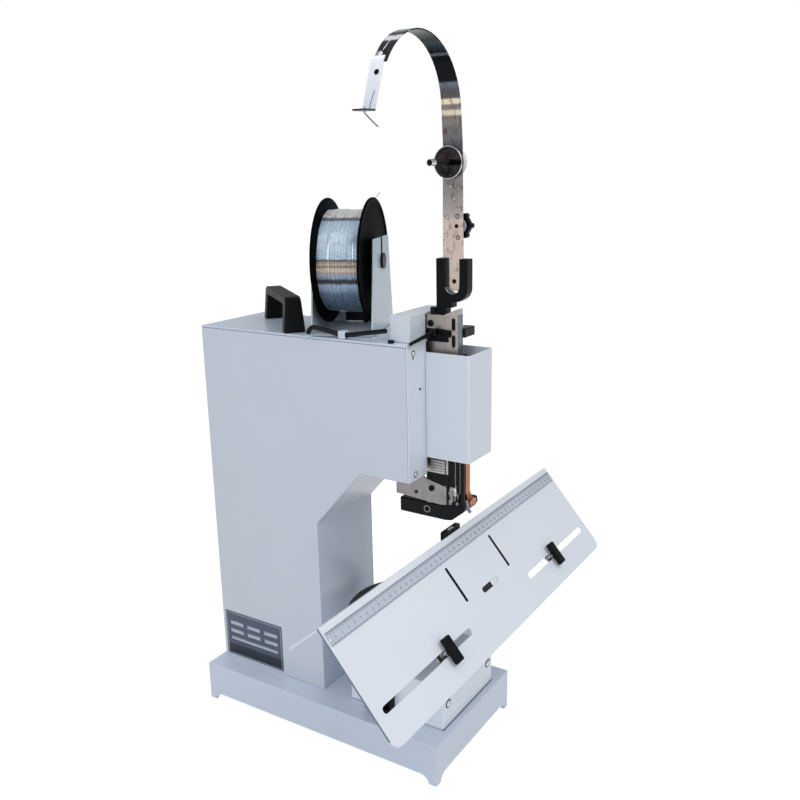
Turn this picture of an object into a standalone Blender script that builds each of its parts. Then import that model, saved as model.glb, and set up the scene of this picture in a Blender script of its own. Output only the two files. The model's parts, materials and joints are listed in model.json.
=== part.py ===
"""Electric single-head wire stitcher for booklets, with a saddle table and a wire spool.

X is the operator's right, Y the back and Z up, in metres. Places along Y are
first given from the front edge of the base; the datum empty then moves the
whole machine so that the middle of its outline stands on the origin.
"""
import math

import bmesh
import bpy
from mathutils import Matrix, Vector

# Gaps and shared values
seat_gap = 0.0003
running_gap = 0.0005
cut_overrun = 0.002
weld_distance = 0.00001
sheet_steel = 0.0015
smooth_angle_deg = 35.0
bevel_angle_deg = 40.0
down_facing_share = -0.5

# Base
base_width = 0.180
base_depth = 0.340
base_height = 0.050
base_wall = 0.004
base_edge_round = 0.0015
foot_length = 0.010
scallop_rise_run = 0.012
scallop_height = 0.0095

# Cabinet casing
cabinet_width = 0.112
cabinet_centre_x = -0.0065
cabinet_front_y = 0.046
column_front_y = 0.173
cabinet_back_margin = 0.006
cabinet_back_y = base_depth - cabinet_back_margin
cabinet_top_z = 0.484
overhang_bottom_z = 0.338
chamfer_top_y = 0.110
chamfer_bottom_z = 0.267
lid_thickness = 0.0025
lid_edge_round = 0.0008
front_panel_rise = 0.002
vent_count = 5
vent_length = 0.060
vent_width = 0.005
vent_pitch = 0.014
vent_first_z = 0.110

# Opening for the stitching head in the front and bottom sheets
head_opening_half_x = 0.0245
head_opening_back_y = 0.094
lid_notch_gap = 0.002
lid_notch_back_margin = 0.003

# Guard over the head
guard_half_x = 0.027
guard_front_y = -0.007
guard_low_z = 0.358
guard_high_z = 0.4745
guard_bend_radius = 0.002

# Pedestal, guide bush and handwheel under the table
pedestal_half_x = 0.060
pedestal_front_y = 0.008
pedestal_back_y = 0.1345
pedestal_top_z = 0.104
lift_x = 0.006
lift_y = 0.090
lift_screw_radius = 0.008
lift_screw_low_z = 0.062
lift_screw_top_z = 0.186
bush_outer_radius = 0.017
bush_top_z = 0.136
bush_flange_radius = 0.030
bush_flange_height = 0.006
wheel_radius = 0.077
wheel_rim_radius = 0.0085
wheel_rim_z = 0.147
wheel_hub_radius = 0.020
wheel_hub_height = 0.026
wheel_spoke_radius = 0.0055
wheel_spoke_count = 3
wheel_spoke_angle_deg = 40.0

# Mains switch and inlet beside the pedestal
inlet_length = 0.036
inlet_depth = 0.011
inlet_height = 0.030
inlet_front_y = 0.072
inlet_lift = 0.003
inlet_socket_length = 0.016
inlet_socket_height = 0.018
inlet_socket_depth = 0.007
rocker_length = 0.014
rocker_height = 0.020
rocker_window_depth = 0.0075
rocker_stand = 0.0015
rocker_edge_share = 0.8
rocker_crown_share = 2.2

# Saddle table
table_length = 0.505
ridge_y = 0.026
ridge_z = 0.265
front_slope_deg = 49.8
front_plate_length = 0.126
rear_plate_length = 0.046
plate_thickness = 0.002
plate_corner_radius = 0.011
ridge_notch_half_x = 0.018
ridge_notch_length = 0.009
long_slot_inner_x = 0.072
long_slot_end_margin = 0.0125
long_slot_outer_x = table_length / 2 - long_slot_end_margin
long_slot_down = 0.093
long_slot_width = 0.0075
short_slot_x = 0.051
short_slot_near = 0.0265
short_slot_far = 0.0678
short_slot_width = 0.0030
centre_slot_half_x = 0.0185
centre_slot_down = 0.0705
centre_slot_width = 0.0065
ruler_length = 0.500
ruler_width = 0.013
ruler_thickness = 0.0008
ruler_down = 0.0135
bracket_rib_x = 0.058
bracket_rib_thickness = 0.004
bracket_plate_front_y = 0.004
bracket_plate_back_y = 0.102
bracket_plate_low_z = 0.176
bracket_plate_thickness = 0.006
bracket_boss_radius = 0.018
bracket_boss_height = 0.006

# Paper stops on the table
stop_left_x = -0.1235
stop_right_x = 0.1395
stop_width = 0.0115
stop_length = 0.0285
stop_height = 0.0064
stop_stand = 0.0040
stop_stem_radius = 0.0028
stop_washer_radius = 0.0045
stop_nut_radius = 0.0075
stop_nut_height = 0.005
stop_edge_round = 0.0012

# Clincher in the ridge
clincher_half_x = 0.017
clincher_front_y = 0.0262
clincher_depth = 0.0085
clincher_top_z = 0.2685
clincher_leg_half_x = 0.009
clincher_foot_gap = 0.0012
clincher_leg_inset = 0.001
plunger_drop = 0.0006
plunger_half_x = 0.0065
plunger_half_y = 0.0016
plunger_height = 0.006

# Stitching head
head_left_x = -0.016
head_frame_right_x = -0.005
head_frame_front_y = 0.028
head_frame_back_y = 0.0525
head_frame_low_z = 0.330
head_frame_top_z = 0.513
head_band_low_z = 0.490
head_band_high_z = 0.498
head_band_depth = 0.0025
clamp_bar_front_y = 0.0200
guide_bar_front_y = 0.0125
guide_bar_top_z = 0.5205
guide_bar_back_top_z = 0.5140
guide_slot_y = 0.0176
guide_bar_low_z = 0.322
guide_slot_width = 0.0045
guide_slot_length = 0.014
guide_slot_depth = 0.003
guide_slot_upper_z = 0.504
guide_slot_lower_z = 0.486
cross_block_right_x = 0.016
cross_block_front_y = 0.0283
cross_block_back_y = 0.0350
cross_block_low_z = 0.360
cross_block_high_z = 0.400
feed_block_front_y = 0.0284
feed_block_back_y = 0.046
feed_block_low_z = 0.338
feed_block_high_z = 0.353
feed_block_right_x = 0.014
feed_groove_count = 4
feed_groove_depth = 0.0012
feed_groove_width = 0.0011
bracket_left_x = -0.0185
bracket_right_x = -0.0165
head_bracket_heights = ((0.091, 0.306), (0.091, 0.321), (0.077, 0.321), (0.058, 0.334),
                        (0.052, 0.330), (0.026, 0.3235), (0.026, 0.303), (0.033, 0.302))
shoe_left_x = -0.016
shoe_right_x = 0.016
shoe_profile = ((0.088, 0.301), (0.088, 0.284), (0.030, 0.2835), (0.021, 0.285), (0.0075, 0.296),
                (0.0045, 0.3015), (0.0055, 0.3075), (0.021, 0.3075), (0.030, 0.301))
shoe_edge_round = 0.0012
copper_half_x = 0.005
copper_front_y = 0.0090
copper_thickness = 0.0014
copper_top_z = 0.372
copper_low_z = 0.3145
copper_pad_radius = 0.0070
copper_pad_thickness = 0.004
copper_pad_z = 0.3165
copper_lug_left_x = -0.0140
copper_lug_height = 0.0110
driver_half_x = 0.004
driver_front_y = 0.0128
driver_back_y = 0.0205
driver_low_z = 0.3095
driver_top_z = 0.4700
driver_slot_gap = 0.0006
yoke_left_x = -0.0040
yoke_right_x = 0.020
yoke_back_y = 0.0440
yoke_half_height = 0.014
adjuster_left_x = -0.0045
adjuster_right_x = 0.018
adjuster_front_y = 0.0100
adjuster_back_y = 0.0225
adjuster_low_z = 0.4885
adjuster_high_z = 0.4985
feed_lever_radius = 0.0022
feed_lever_pivot_y = 0.0385
feed_lever_pivot_z = 0.4955
feed_lever_tip_x = -0.062
feed_lever_tip_y = 0.0425
feed_lever_tip_z = 0.4890
feed_lever_boss_radius = 0.0032
feed_lever_boss_length = 0.007
feed_lever_taper_share = 0.8

# Cover box behind the head top
cover_left_x = -0.050
cover_right_x = 0.030
cover_front_y = 0.0505
cover_back_y = 0.0745
cover_height = 0.0285
cover_seam_width = 0.0010
cover_seam_depth = 0.0006
cover_seam_share = 0.06

# Swan neck on its fork
fork_left_x = -0.0135
fork_right_x = -0.0020
fork_front_y = 0.0025
fork_back_y = 0.0395
fork_top_z = 0.5715
fork_slot_front_y = 0.0122
fork_slot_back_y = 0.0290
fork_slot_bottom_z = 0.5350
fork_stem_front_y = 0.0208
fork_knee_z = 0.5330
fork_round = 0.0090
neck_centre_x = -0.0075
neck_centre_y = 0.0223
neck_tongue_centre_y = 0.0203
neck_width = 0.0240
neck_tongue_width = 0.0135
neck_thickness = 0.0012
neck_tongue_low_z = 0.5380
neck_shoulder_z = 0.5718
neck_lean_z = 0.6860
neck_lean_deg = 5.0
neck_bend_z = 0.7150
neck_bend_radius = 0.0680
neck_arc_end_deg = 148.0
neck_end_width = 0.0142
neck_bend_width = 0.0218
neck_steps = 22
neck_tip_shares = ((0.0, 0.5), (0.15, 0.85), (0.4, 1.0))
eyelet_leg_length = 0.044
eyelet_lap = 0.005
eyelet_y = 0.0240
eyelet_leg_width = 0.0132
eyelet_leg_thickness = 0.0016
eyelet_foot_length = 0.0155
eyelet_hole_radius = 0.0012
eyelet_hole_share = 0.4
eyelet_lean_deg = 70.0
felt_y = 0.0247
felt_z = 0.6670
felt_radius = 0.0155
felt_thickness = 0.004
pressure_plate_radius = 0.0163
pressure_plate_thickness = 0.0012
tension_bolt_radius = 0.0022
tension_bolt_reach = 0.0410
tension_nut_radius = 0.0036
tension_nut_length = 0.008
star_z = 0.6042
star_y = 0.0180
star_radius = 0.0142
star_lobe_radius = 0.0030
star_lobe_count = 6
star_thickness = 0.006
star_stand = 0.006
star_stem_radius = 0.0018

# Wire spool, its stand and axle
spool_x = -0.0035
spool_y = 0.1540
spool_z = 0.5640
spool_turn_deg = 20.0
flange_radius = 0.0688
flange_thickness = 0.0030
flange_lip = 0.0012
flange_lip_width = 0.0040
spool_width = 0.0540
winding_core_radius = 0.0540
spool_hub_radius = 0.0200
spool_bore_radius = 0.0065
axle_radius = 0.0060
axle_head_radius = 0.0085
axle_head_length = 0.0030
wire_tube_radius = 0.00072
wire_turn_count = 24
wire_turn_points = 24
stand_half_gap = 0.0330
stand_sheet = 0.0020
stand_foot_half = 0.0495
stand_top_half = 0.0330
stand_top_z = 0.5900
stand_shoulder_z = 0.4900
keyhole_radius = 0.0075
keyhole_slot_width = 0.0045
brake_bar_side = 0.0090
brake_bar_u = 0.0370
brake_bar_lift = 0.0035
stand_screw_radius = 0.0042
stand_screw_height = 0.0045
wire_end_radius = 0.0007
wire_end_length = 0.016
wire_end_drop = 0.0026
wire_end_direction_shares = (0.75, -0.35, -0.75)
wire_end_curl_share = 0.1

# Carry handle, tool holder and keys on the lid
handle_x = -0.0500
handle_y = 0.2030
handle_turn_deg = 51.3
handle_span = 0.110
handle_height = 0.0395
handle_leg_thickness = 0.0125
handle_top_thickness = 0.0085
handle_foot_width = 0.0240
handle_top_width = 0.0175
handle_round = 0.0070
handle_lean_share = 0.25
holder_x = -0.0580
holder_y = 0.1290
holder_width = 0.0085
holder_depth = 0.0090
holder_height = 0.0085
key_radius = 0.0028
key_bore_gap = 0.0005
key_bore_depth = 0.0035
key_bend_share = 1.5
key_bend_inset_share = 0.3
key_z = 0.4912
key_long_tip = (-0.0660, 0.1655, 0.4990)
key_long_hook = (-0.0670, 0.1700, 0.4905)
key_short_tip = (-0.0575, 0.0740, 0.4996)

# Works inside the casing
frame_left_x = -0.0580
frame_right_x = -0.0490
frame_front_y = 0.0640
frame_arm_low_z = 0.3560
frame_arm_high_z = 0.4640
frame_column_front_y = 0.1900
frame_back_margin = 0.0440
frame_back_y = cabinet_back_y - frame_back_margin
frame_foot_right_x = 0.0380
frame_foot_thickness = 0.008
shaft_x = 0.0040
shaft_z = 0.4320
shaft_radius = 0.0080
shaft_bore_gap = 0.0004
bearing_half_x = 0.0180
bearing_half_z = 0.0180
bearing_length = 0.0220
front_bearing_y = 0.0680
rear_bearing_margin = 0.0740
rear_bearing_y = cabinet_back_y - rear_bearing_margin
shaft_front_y = 0.0600
shaft_back_margin = 0.0180
shaft_back_y = cabinet_back_y - shaft_back_margin
crank_disc_radius = 0.0160
crank_disc_thickness = 0.0070
crank_throw = 0.0045
crank_pin_radius = 0.0035
driven_pulley_radius = 0.0400
pulley_width = 0.0140
pulley_back_margin = 0.0375
pulley_y = cabinet_back_y - pulley_back_margin
pulley_flange = 0.0030
motor_pulley_radius = 0.0160
motor_z = 0.1500
motor_radius = 0.0390
motor_front_margin = 0.0120
motor_front_y = column_front_y + motor_front_margin
motor_back_margin = 0.0560
motor_back_y = cabinet_back_y - motor_back_margin
motor_fin_count = 12
motor_fin_depth = 0.0025
motor_foot_share = 0.21
motor_bore_depth = 0.0195
motor_foot_top_margin = 0.0195
motor_shaft_radius = 0.0060
motor_foot_half_x = 0.0280
shelf_top_z = 0.1030
shelf_thickness = 0.0080
belt_thickness = 0.0030
belt_width = 0.0100
belt_gap = 0.0004
head_mount_low_z = 0.3560
head_mount_high_z = 0.4050
head_mount_right_x = 0.0180

# Faces on round pieces
fine_steps = 32
round_steps = 20
small_steps = 12
corner_steps = 4

front_slope = math.radians(front_slope_deg)
rear_slope = math.pi / 2 - front_slope
front_down = Vector((0.0, -math.cos(front_slope), -math.sin(front_slope)))
front_out = Vector((0.0, -math.sin(front_slope), math.cos(front_slope)))
rear_down = Vector((0.0, math.cos(rear_slope), -math.sin(rear_slope)))
rear_out = Vector((0.0, math.sin(rear_slope), math.cos(rear_slope)))
ridge = Vector((0.0, ridge_y, ridge_z))

cabinet_left_x = cabinet_centre_x - cabinet_width / 2
cabinet_right_x = cabinet_centre_x + cabinet_width / 2
lid_top_z = cabinet_top_z + lid_thickness + seat_gap
cover_top_z = lid_top_z + cover_height

colours = {
    "casing_paint": ((0.56, 0.60, 0.68), 0.35, 0.0),
    "table_paint": ((0.70, 0.75, 0.80), 0.35, 0.0),
    "bright_steel": ((0.60, 0.60, 0.59), 0.30, 1.0),
    "chrome": ((0.80, 0.80, 0.82), 0.12, 1.0),
    "black_steel": ((0.018, 0.019, 0.022), 0.35, 0.6),
    "black_plastic": ((0.020, 0.020, 0.022), 0.45, 0.0),
    "copper": ((0.72, 0.30, 0.14), 0.30, 1.0),
    "wire": ((0.62, 0.66, 0.74), 0.22, 1.0),
    "felt": ((0.060, 0.055, 0.060), 0.90, 0.0),
    "ruler_steel": ((0.64, 0.66, 0.68), 0.35, 0.8),
    "cast_iron": ((0.16, 0.17, 0.18), 0.60, 0.7),
    "rubber": ((0.020, 0.020, 0.020), 0.80, 0.0),
}


def clear_scene():
    for item in list(bpy.data.objects):
        bpy.data.objects.remove(item, do_unlink=True)


def new_collection(name):
    group = bpy.data.collections.new(name)
    bpy.context.scene.collection.children.link(group)
    return group


def new_material(name):
    colour, roughness, metallic = colours[name]
    material = bpy.data.materials.new(name)
    material.use_nodes = True
    shader = material.node_tree.nodes["Principled BSDF"]
    shader.inputs["Base Color"].default_value = (*colour, 1.0)
    shader.inputs["Roughness"].default_value = roughness
    shader.inputs["Metallic"].default_value = metallic
    return material


clear_scene()
machine_parts = new_collection("booklet_wire_stitcher")
materials = {name: new_material(name) for name in colours}
datum = bpy.data.objects.new("machine_datum", None)
machine_parts.objects.link(datum)


def scratch(mesh, name="shape"):
    """A plain object in the scene, used while a piece is being built."""
    item = bpy.data.objects.new(name, mesh)
    machine_parts.objects.link(item)
    return item


def evaluated_mesh(item):
    graph = bpy.context.evaluated_depsgraph_get()
    graph.update()
    mesh = bpy.data.meshes.new_from_object(item.evaluated_get(graph), depsgraph=graph)
    return mesh


def baked(item):
    """Replace an object by a plain mesh of what its modifiers or bevel make."""
    mesh = evaluated_mesh(item)
    mesh.transform(item.matrix_world)
    bpy.data.objects.remove(item, do_unlink=True)
    form = bmesh.new()
    form.from_mesh(mesh)
    bmesh.ops.remove_doubles(form, verts=form.verts, dist=weld_distance)
    bmesh.ops.recalc_face_normals(form, faces=form.faces)
    form.to_mesh(mesh)
    form.free()
    return scratch(mesh)


def box(low, high):
    low = Vector(low)
    high = Vector(high)
    form = bmesh.new()
    place = Matrix.Translation((low + high) / 2) @ Matrix.Diagonal((*(high - low), 1.0))
    bmesh.ops.create_cube(form, size=1.0, matrix=place)
    mesh = bpy.data.meshes.new("box")
    form.to_mesh(mesh)
    form.free()
    return scratch(mesh)


def rod(start, end, radius, steps=small_steps, end_radius=None):
    """A round bar between two points, tapered when end_radius is given."""
    start = Vector(start)
    end = Vector(end)
    along = end - start
    turn = along.to_track_quat("Z", "Y").to_matrix().to_4x4()
    form = bmesh.new()
    bmesh.ops.create_cone(form, cap_ends=True, segments=steps, radius1=radius,
                          radius2=radius if end_radius is None else end_radius,
                          depth=along.length,
                          matrix=Matrix.Translation((start + end) / 2) @ turn)
    mesh = bpy.data.meshes.new("rod")
    form.to_mesh(mesh)
    form.free()
    return scratch(mesh)


def turned(profile, place, steps=fine_steps):
    """A solid of revolution: (radius, height) pairs from the top to the bottom, on the axis at both ends."""
    mesh = bpy.data.meshes.new("profile")
    points = [(radius, 0.0, height) for radius, height in profile]
    edges = [(index, index + 1) for index in range(len(points) - 1)]
    mesh.from_pydata(points, edges, [])
    item = scratch(mesh)
    screw = item.modifiers.new("revolve", "SCREW")
    screw.steps = steps
    screw.render_steps = steps
    screw.use_merge_vertices = True
    screw.merge_threshold = weld_distance
    item.matrix_world = place
    bpy.context.view_layer.update()
    return baked(item)


def ring(profile, place, steps=fine_steps):
    """A ring of revolution: a closed loop of (radius, height) pairs, clockwise from the top outside."""
    return turned(list(profile) + [profile[0]], place, steps)


def rounded(points, radius, steps=corner_steps):
    """A flat outline with its corners rounded; radius may be one value or one for each corner."""
    count = len(points)
    radii = [radius] * count if isinstance(radius, float) else list(radius)
    outline = []
    for index, corner in enumerate(points):
        here = Vector(corner)
        before = (Vector(points[index - 1]) - here).normalized()
        after = (Vector(points[(index + 1) % count]) - here).normalized()
        reach = radii[index]
        if reach <= 0.0:
            outline.append(tuple(here))
            continue
        half = before.angle(after) / 2
        limit = min((Vector(points[index - 1]) - here).length,
                    (Vector(points[(index + 1) % count]) - here).length) / 2
        tangent = min(reach / math.tan(half), limit)
        bend = tangent * math.tan(half)
        middle = here + (before + after).normalized() * (bend / math.sin(half))
        first = here + before * tangent - middle
        last = here + after * tangent - middle
        sweep = math.atan2(first.x * last.y - first.y * last.x, first.dot(last))
        for step in range(steps + 1):
            angle = sweep * step / steps
            turn = Matrix.Rotation(angle, 2)
            outline.append(tuple(middle + turn @ first))
    return outline


def slot_outline(centre, half_length, width, angle=0.0, steps=corner_steps):
    """A hole with round ends."""
    points = []
    radius = width / 2
    for side in (1, -1):
        for step in range(steps + 1):
            sweep = math.pi * (step / steps - 0.5)
            points.append((side * (half_length - radius + radius * math.cos(sweep)),
                           side * radius * math.sin(sweep)))
    turn = Matrix.Rotation(angle, 2)
    return [tuple(Vector(centre) + turn @ Vector(point)) for point in points]


def flat(outline, thickness, place, holes=()):
    """A flat outline, with holes, given a thickness about its plane."""
    curve = bpy.data.curves.new("outline", "CURVE")
    curve.dimensions = "2D"
    curve.fill_mode = "BOTH"
    curve.extrude = thickness / 2
    for loop in [outline, *holes]:
        spline = curve.splines.new("POLY")
        spline.points.add(len(loop) - 1)
        for point, (across, up) in zip(spline.points, loop):
            point.co = (across, up, 0.0, 1.0)
        spline.use_cyclic_u = True
    item = scratch(curve)
    item.matrix_world = place
    bpy.context.view_layer.update()
    return baked(item)


def across_x(x):
    """Outline in (Y, Z), thickness along X, middle at x."""
    return Matrix(((0, 0, 1, x), (1, 0, 0, 0), (0, 1, 0, 0), (0, 0, 0, 1)))


def across_y(y):
    """Outline in (X, Z), thickness along Y, middle at y."""
    return Matrix(((1, 0, 0, 0), (0, 0, -1, y), (0, 1, 0, 0), (0, 0, 0, 1)))


def across_z(z):
    """Outline in (X, Y), thickness along Z, middle at z."""
    return Matrix.Translation((0.0, 0.0, z))


def tube(points, radius, closed=False, resolution=2):
    """A round bar along a list of points."""
    curve = bpy.data.curves.new("route", "CURVE")
    curve.dimensions = "3D"
    curve.bevel_depth = radius
    curve.bevel_resolution = resolution
    curve.use_fill_caps = True
    spline = curve.splines.new("POLY")
    spline.points.add(len(points) - 1)
    for point, place in zip(spline.points, points):
        point.co = (*place, 1.0)
    spline.use_cyclic_u = closed
    return baked(scratch(curve))


def combine(item, others, operation):
    """Join other shapes to a shape, cut them from it, or keep what they share."""
    for other in others:
        change = item.modifiers.new(operation.lower(), "BOOLEAN")
        change.operation = operation
        change.solver = "EXACT"
        change.object = other
    bpy.context.view_layer.update()
    result = baked(item)
    for other in others:
        bpy.data.objects.remove(other, do_unlink=True)
    return result


def joined(item, *others):
    return combine(item, others, "UNION")


def cut(item, *others):
    return combine(item, others, "DIFFERENCE")


def softened(item, width, segments=2, angle=math.radians(bevel_angle_deg)):
    bevel = item.modifiers.new("soft_edges", "BEVEL")
    bevel.width = width
    bevel.segments = segments
    bevel.limit_method = "ANGLE"
    bevel.angle_limit = angle
    bpy.context.view_layer.update()
    return baked(item)


def moved(item, matrix):
    item.data.transform(matrix)
    return item


def finished(item, name, material, origin=(0.0, 0.0, 0.0), smooth=True):
    """Name a shape, give it its material and its own origin, and hang it on the datum."""
    origin = Vector(origin)
    item.data.transform(Matrix.Translation(-origin))
    item.name = name
    item.data.name = name
    item.data.materials.clear()
    item.data.materials.append(materials[material])
    item.location = origin
    item.parent = datum
    if smooth:
        item.data.shade_smooth()
        item.data.set_sharp_from_angle(angle=math.radians(smooth_angle_deg))
    return item


def build_base():
    half = base_width / 2
    form = bmesh.new()
    place = Matrix.Translation((0.0, base_depth / 2, base_height / 2))
    place = place @ Matrix.Diagonal((base_width, base_depth, base_height, 1.0))
    bmesh.ops.create_cube(form, size=1.0, matrix=place)
    floor = [face for face in form.faces if face.normal.z < down_facing_share]
    bmesh.ops.delete(form, geom=floor, context="FACES_ONLY")
    mesh = bpy.data.meshes.new("skirt")
    form.to_mesh(mesh)
    form.free()
    shell = scratch(mesh)
    rounding = shell.modifiers.new("edges", "BEVEL")
    rounding.width = base_edge_round
    rounding.segments = 2
    wall = shell.modifiers.new("wall", "SOLIDIFY")
    wall.thickness = base_wall
    wall.offset = -1.0
    wall.use_even_offset = True
    bpy.context.view_layer.update()
    shell = baked(shell)

    def scallop(length):
        start = foot_length
        rise = [(start + scallop_rise_run * (1 - math.cos(math.pi * step / 8)),
                 scallop_height * math.sin(math.pi * step / 8)) for step in range(5)]
        back = [(length - along, up) for along, up in reversed(rise)]
        return [(start, -cut_overrun), *rise, *back, (length - start, -cut_overrun)]

    sides = flat(scallop(base_depth), base_width + 2 * cut_overrun, across_x(0.0))
    ends = flat([(along - half, up) for along, up in scallop(base_width)],
                base_depth + 2 * cut_overrun, across_y(base_depth / 2))
    finished(cut(shell, sides, ends), "base_skirt", "casing_paint")


def build_casing():
    left = cabinet_left_x + sheet_steel / 2
    right = cabinet_right_x - sheet_steel / 2
    base_top = base_height + seat_gap
    side = [(cabinet_front_y + sheet_steel + seat_gap, overhang_bottom_z), (chamfer_top_y, overhang_bottom_z),
            (column_front_y, chamfer_bottom_z), (column_front_y, base_top),
            (cabinet_back_y, base_top), (cabinet_back_y, cabinet_top_z),
            (cabinet_front_y + sheet_steel + seat_gap, cabinet_top_z)]
    finished(flat(side, sheet_steel, across_x(left)), "left_side_panel", "casing_paint")
    finished(flat(side, sheet_steel, across_x(right)), "right_side_panel", "casing_paint")

    inner_left = cabinet_left_x + sheet_steel + seat_gap
    inner_right = cabinet_right_x - sheet_steel - seat_gap
    inner_width = inner_right - inner_left
    inner_centre = (inner_left + inner_right) / 2
    # The sheet follows the underside of the arm, the slope and the front of the column.
    slope = math.atan2(overhang_bottom_z - chamfer_bottom_z, column_front_y - chamfer_top_y)
    lift = sheet_steel * math.tan(slope / 2)
    turn_in = sheet_steel * math.tan((math.pi / 2 - slope) / 2)
    sheet_front_y = cabinet_front_y + sheet_steel + seat_gap
    outer = [(sheet_front_y, overhang_bottom_z), (chamfer_top_y, overhang_bottom_z),
             (column_front_y, chamfer_bottom_z), (column_front_y, base_top)]
    inner = [(column_front_y + sheet_steel, base_top), (column_front_y + sheet_steel, chamfer_bottom_z + turn_in),
             (chamfer_top_y + lift, overhang_bottom_z + sheet_steel), (sheet_front_y, overhang_bottom_z + sheet_steel)]
    front = flat(outer + inner, inner_width, across_x(inner_centre))
    opening = box((-head_opening_half_x, sheet_front_y - cut_overrun, overhang_bottom_z - cut_overrun),
                  (head_opening_half_x, head_opening_back_y, overhang_bottom_z + sheet_steel + cut_overrun))
    finished(cut(front, opening), "arm_underside_and_column_sheet", "casing_paint")

    back_y = cabinet_back_y - sheet_steel / 2
    vents = [slot_outline((inner_centre, vent_first_z + vent_pitch * index), vent_length / 2, vent_width)
             for index in range(vent_count)]
    back = [(inner_left, base_top), (inner_right, base_top),
            (inner_right, cabinet_top_z), (inner_left, cabinet_top_z)]
    finished(flat(back, sheet_steel, across_y(back_y), vents), "back_panel", "casing_paint")

    # The head stands in the gap between the two front panels.
    panel_y = cabinet_front_y + sheet_steel / 2
    panel_top = lid_top_z + front_panel_rise
    for name, start, stop in (("head_front_panel", cabinet_left_x, -head_opening_half_x),
                              ("head_front_panel_right", head_opening_half_x, cabinet_right_x)):
        panel = [(start, overhang_bottom_z), (stop, overhang_bottom_z), (stop, panel_top), (start, panel_top)]
        finished(flat(panel, sheet_steel, across_y(panel_y)), name, "casing_paint")

    lid_low = cabinet_top_z + seat_gap
    lid_front = cabinet_front_y + sheet_steel + seat_gap
    lid = box((cabinet_left_x, lid_front, lid_low), (cabinet_right_x, cabinet_back_y, lid_low + lid_thickness))
    lid = softened(lid, lid_edge_round)
    notch = box((head_left_x - lid_notch_gap, lid_front - cut_overrun, lid_low - cut_overrun),
                (head_opening_half_x, cover_back_y - lid_notch_back_margin, lid_low + lid_thickness + cut_overrun))
    finished(cut(lid, notch), "top_lid", "casing_paint")

    # Box over the crank at the back of the head
    low = lid_top_z + seat_gap
    cover = box((cover_left_x, cover_front_y, low), (cover_right_x, cover_back_y, cover_top_z))
    cover = softened(cover, lid_edge_round)
    hollow = box((cover_left_x + sheet_steel, cover_front_y + sheet_steel, low - cut_overrun),
                 (cover_right_x - sheet_steel, cover_back_y - sheet_steel, cover_top_z - sheet_steel))
    seam_x = cover_left_x + (cover_right_x - cover_left_x) * cover_seam_share
    seam = box((seam_x, cover_front_y - cut_overrun, low - cut_overrun),
               (seam_x + cover_seam_width, cover_front_y + cover_seam_depth, cover_top_z + cut_overrun))
    passage = box((head_left_x - sheet_steel - running_gap, cover_front_y - cut_overrun, low - cut_overrun),
                  (head_opening_half_x, head_frame_back_y + seat_gap, head_frame_top_z + seat_gap))
    finished(cut(cover, hollow, seam, passage), "crank_cover_box", "casing_paint")


def build_guard():
    back = cabinet_front_y - seat_gap
    half = guard_half_x
    wall = sheet_steel
    outer = rounded([(-half, back), (-half, guard_front_y), (half, guard_front_y), (half, back)],
                    [0.0, guard_bend_radius + wall, guard_bend_radius + wall, 0.0])
    inner = rounded([(half - wall, back), (half - wall, guard_front_y + wall),
                     (-half + wall, guard_front_y + wall), (-half + wall, back)],
                    [0.0, guard_bend_radius, guard_bend_radius, 0.0])
    height = guard_high_z - guard_low_z
    shell = flat(outer + inner, height, across_z((guard_low_z + guard_high_z) / 2))
    finished(shell, "head_guard", "casing_paint")


def build_pedestal():
    low = base_height + seat_gap
    shell = box((-pedestal_half_x, pedestal_front_y, low), (pedestal_half_x, pedestal_back_y, pedestal_top_z))
    shell = softened(shell, base_edge_round)
    hollow = box((-pedestal_half_x + sheet_steel, pedestal_front_y + sheet_steel, low - cut_overrun),
                 (pedestal_half_x - sheet_steel, pedestal_back_y - sheet_steel, pedestal_top_z - sheet_steel))
    hole = rod((lift_x, lift_y, pedestal_top_z - sheet_steel - cut_overrun),
               (lift_x, lift_y, pedestal_top_z + cut_overrun), bush_outer_radius + seat_gap, round_steps)
    finished(cut(shell, hollow, hole), "pedestal_cover", "casing_paint")

    bore = lift_screw_radius + running_gap
    profile = [(bush_outer_radius, bush_top_z), (bush_outer_radius, low + bush_flange_height),
               (bush_flange_radius, low + bush_flange_height), (bush_flange_radius, low),
               (bore, low), (bore, bush_top_z)]
    bush = ring(profile, Matrix.Translation((lift_x, lift_y, 0.0)), round_steps)
    finished(bush, "lift_guide_bush", "cast_iron")


def build_handwheel():
    centre = Vector((lift_x, lift_y, wheel_rim_z))
    place = Matrix.Translation(centre)
    rim_steps = 8
    rim_path = wheel_radius - wheel_rim_radius
    loop = [(rim_path + wheel_rim_radius * math.cos(-2 * math.pi * step / rim_steps),
             wheel_rim_radius * math.sin(-2 * math.pi * step / rim_steps)) for step in range(rim_steps)]
    rim = ring(loop, place, fine_steps)
    hub_low = bush_top_z + seat_gap - wheel_rim_z
    hub_top = hub_low + wheel_hub_height
    hub = rod(centre + Vector((0, 0, hub_low)), centre + Vector((0, 0, hub_top)), wheel_hub_radius, round_steps)
    spokes = []
    for index in range(wheel_spoke_count):
        angle = math.radians(wheel_spoke_angle_deg) + 2 * math.pi * index / wheel_spoke_count
        out = Vector((math.cos(angle), math.sin(angle), 0.0))
        spokes.append(rod(centre, centre + out * rim_path, wheel_spoke_radius, small_steps))
    wheel = joined(hub, rim, *spokes)
    bore = rod(centre + Vector((0, 0, hub_low - cut_overrun)), centre + Vector((0, 0, hub_top + cut_overrun)),
               lift_screw_radius + running_gap, round_steps)
    finished(cut(wheel, bore), "lift_handwheel", "black_plastic", centre)


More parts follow.
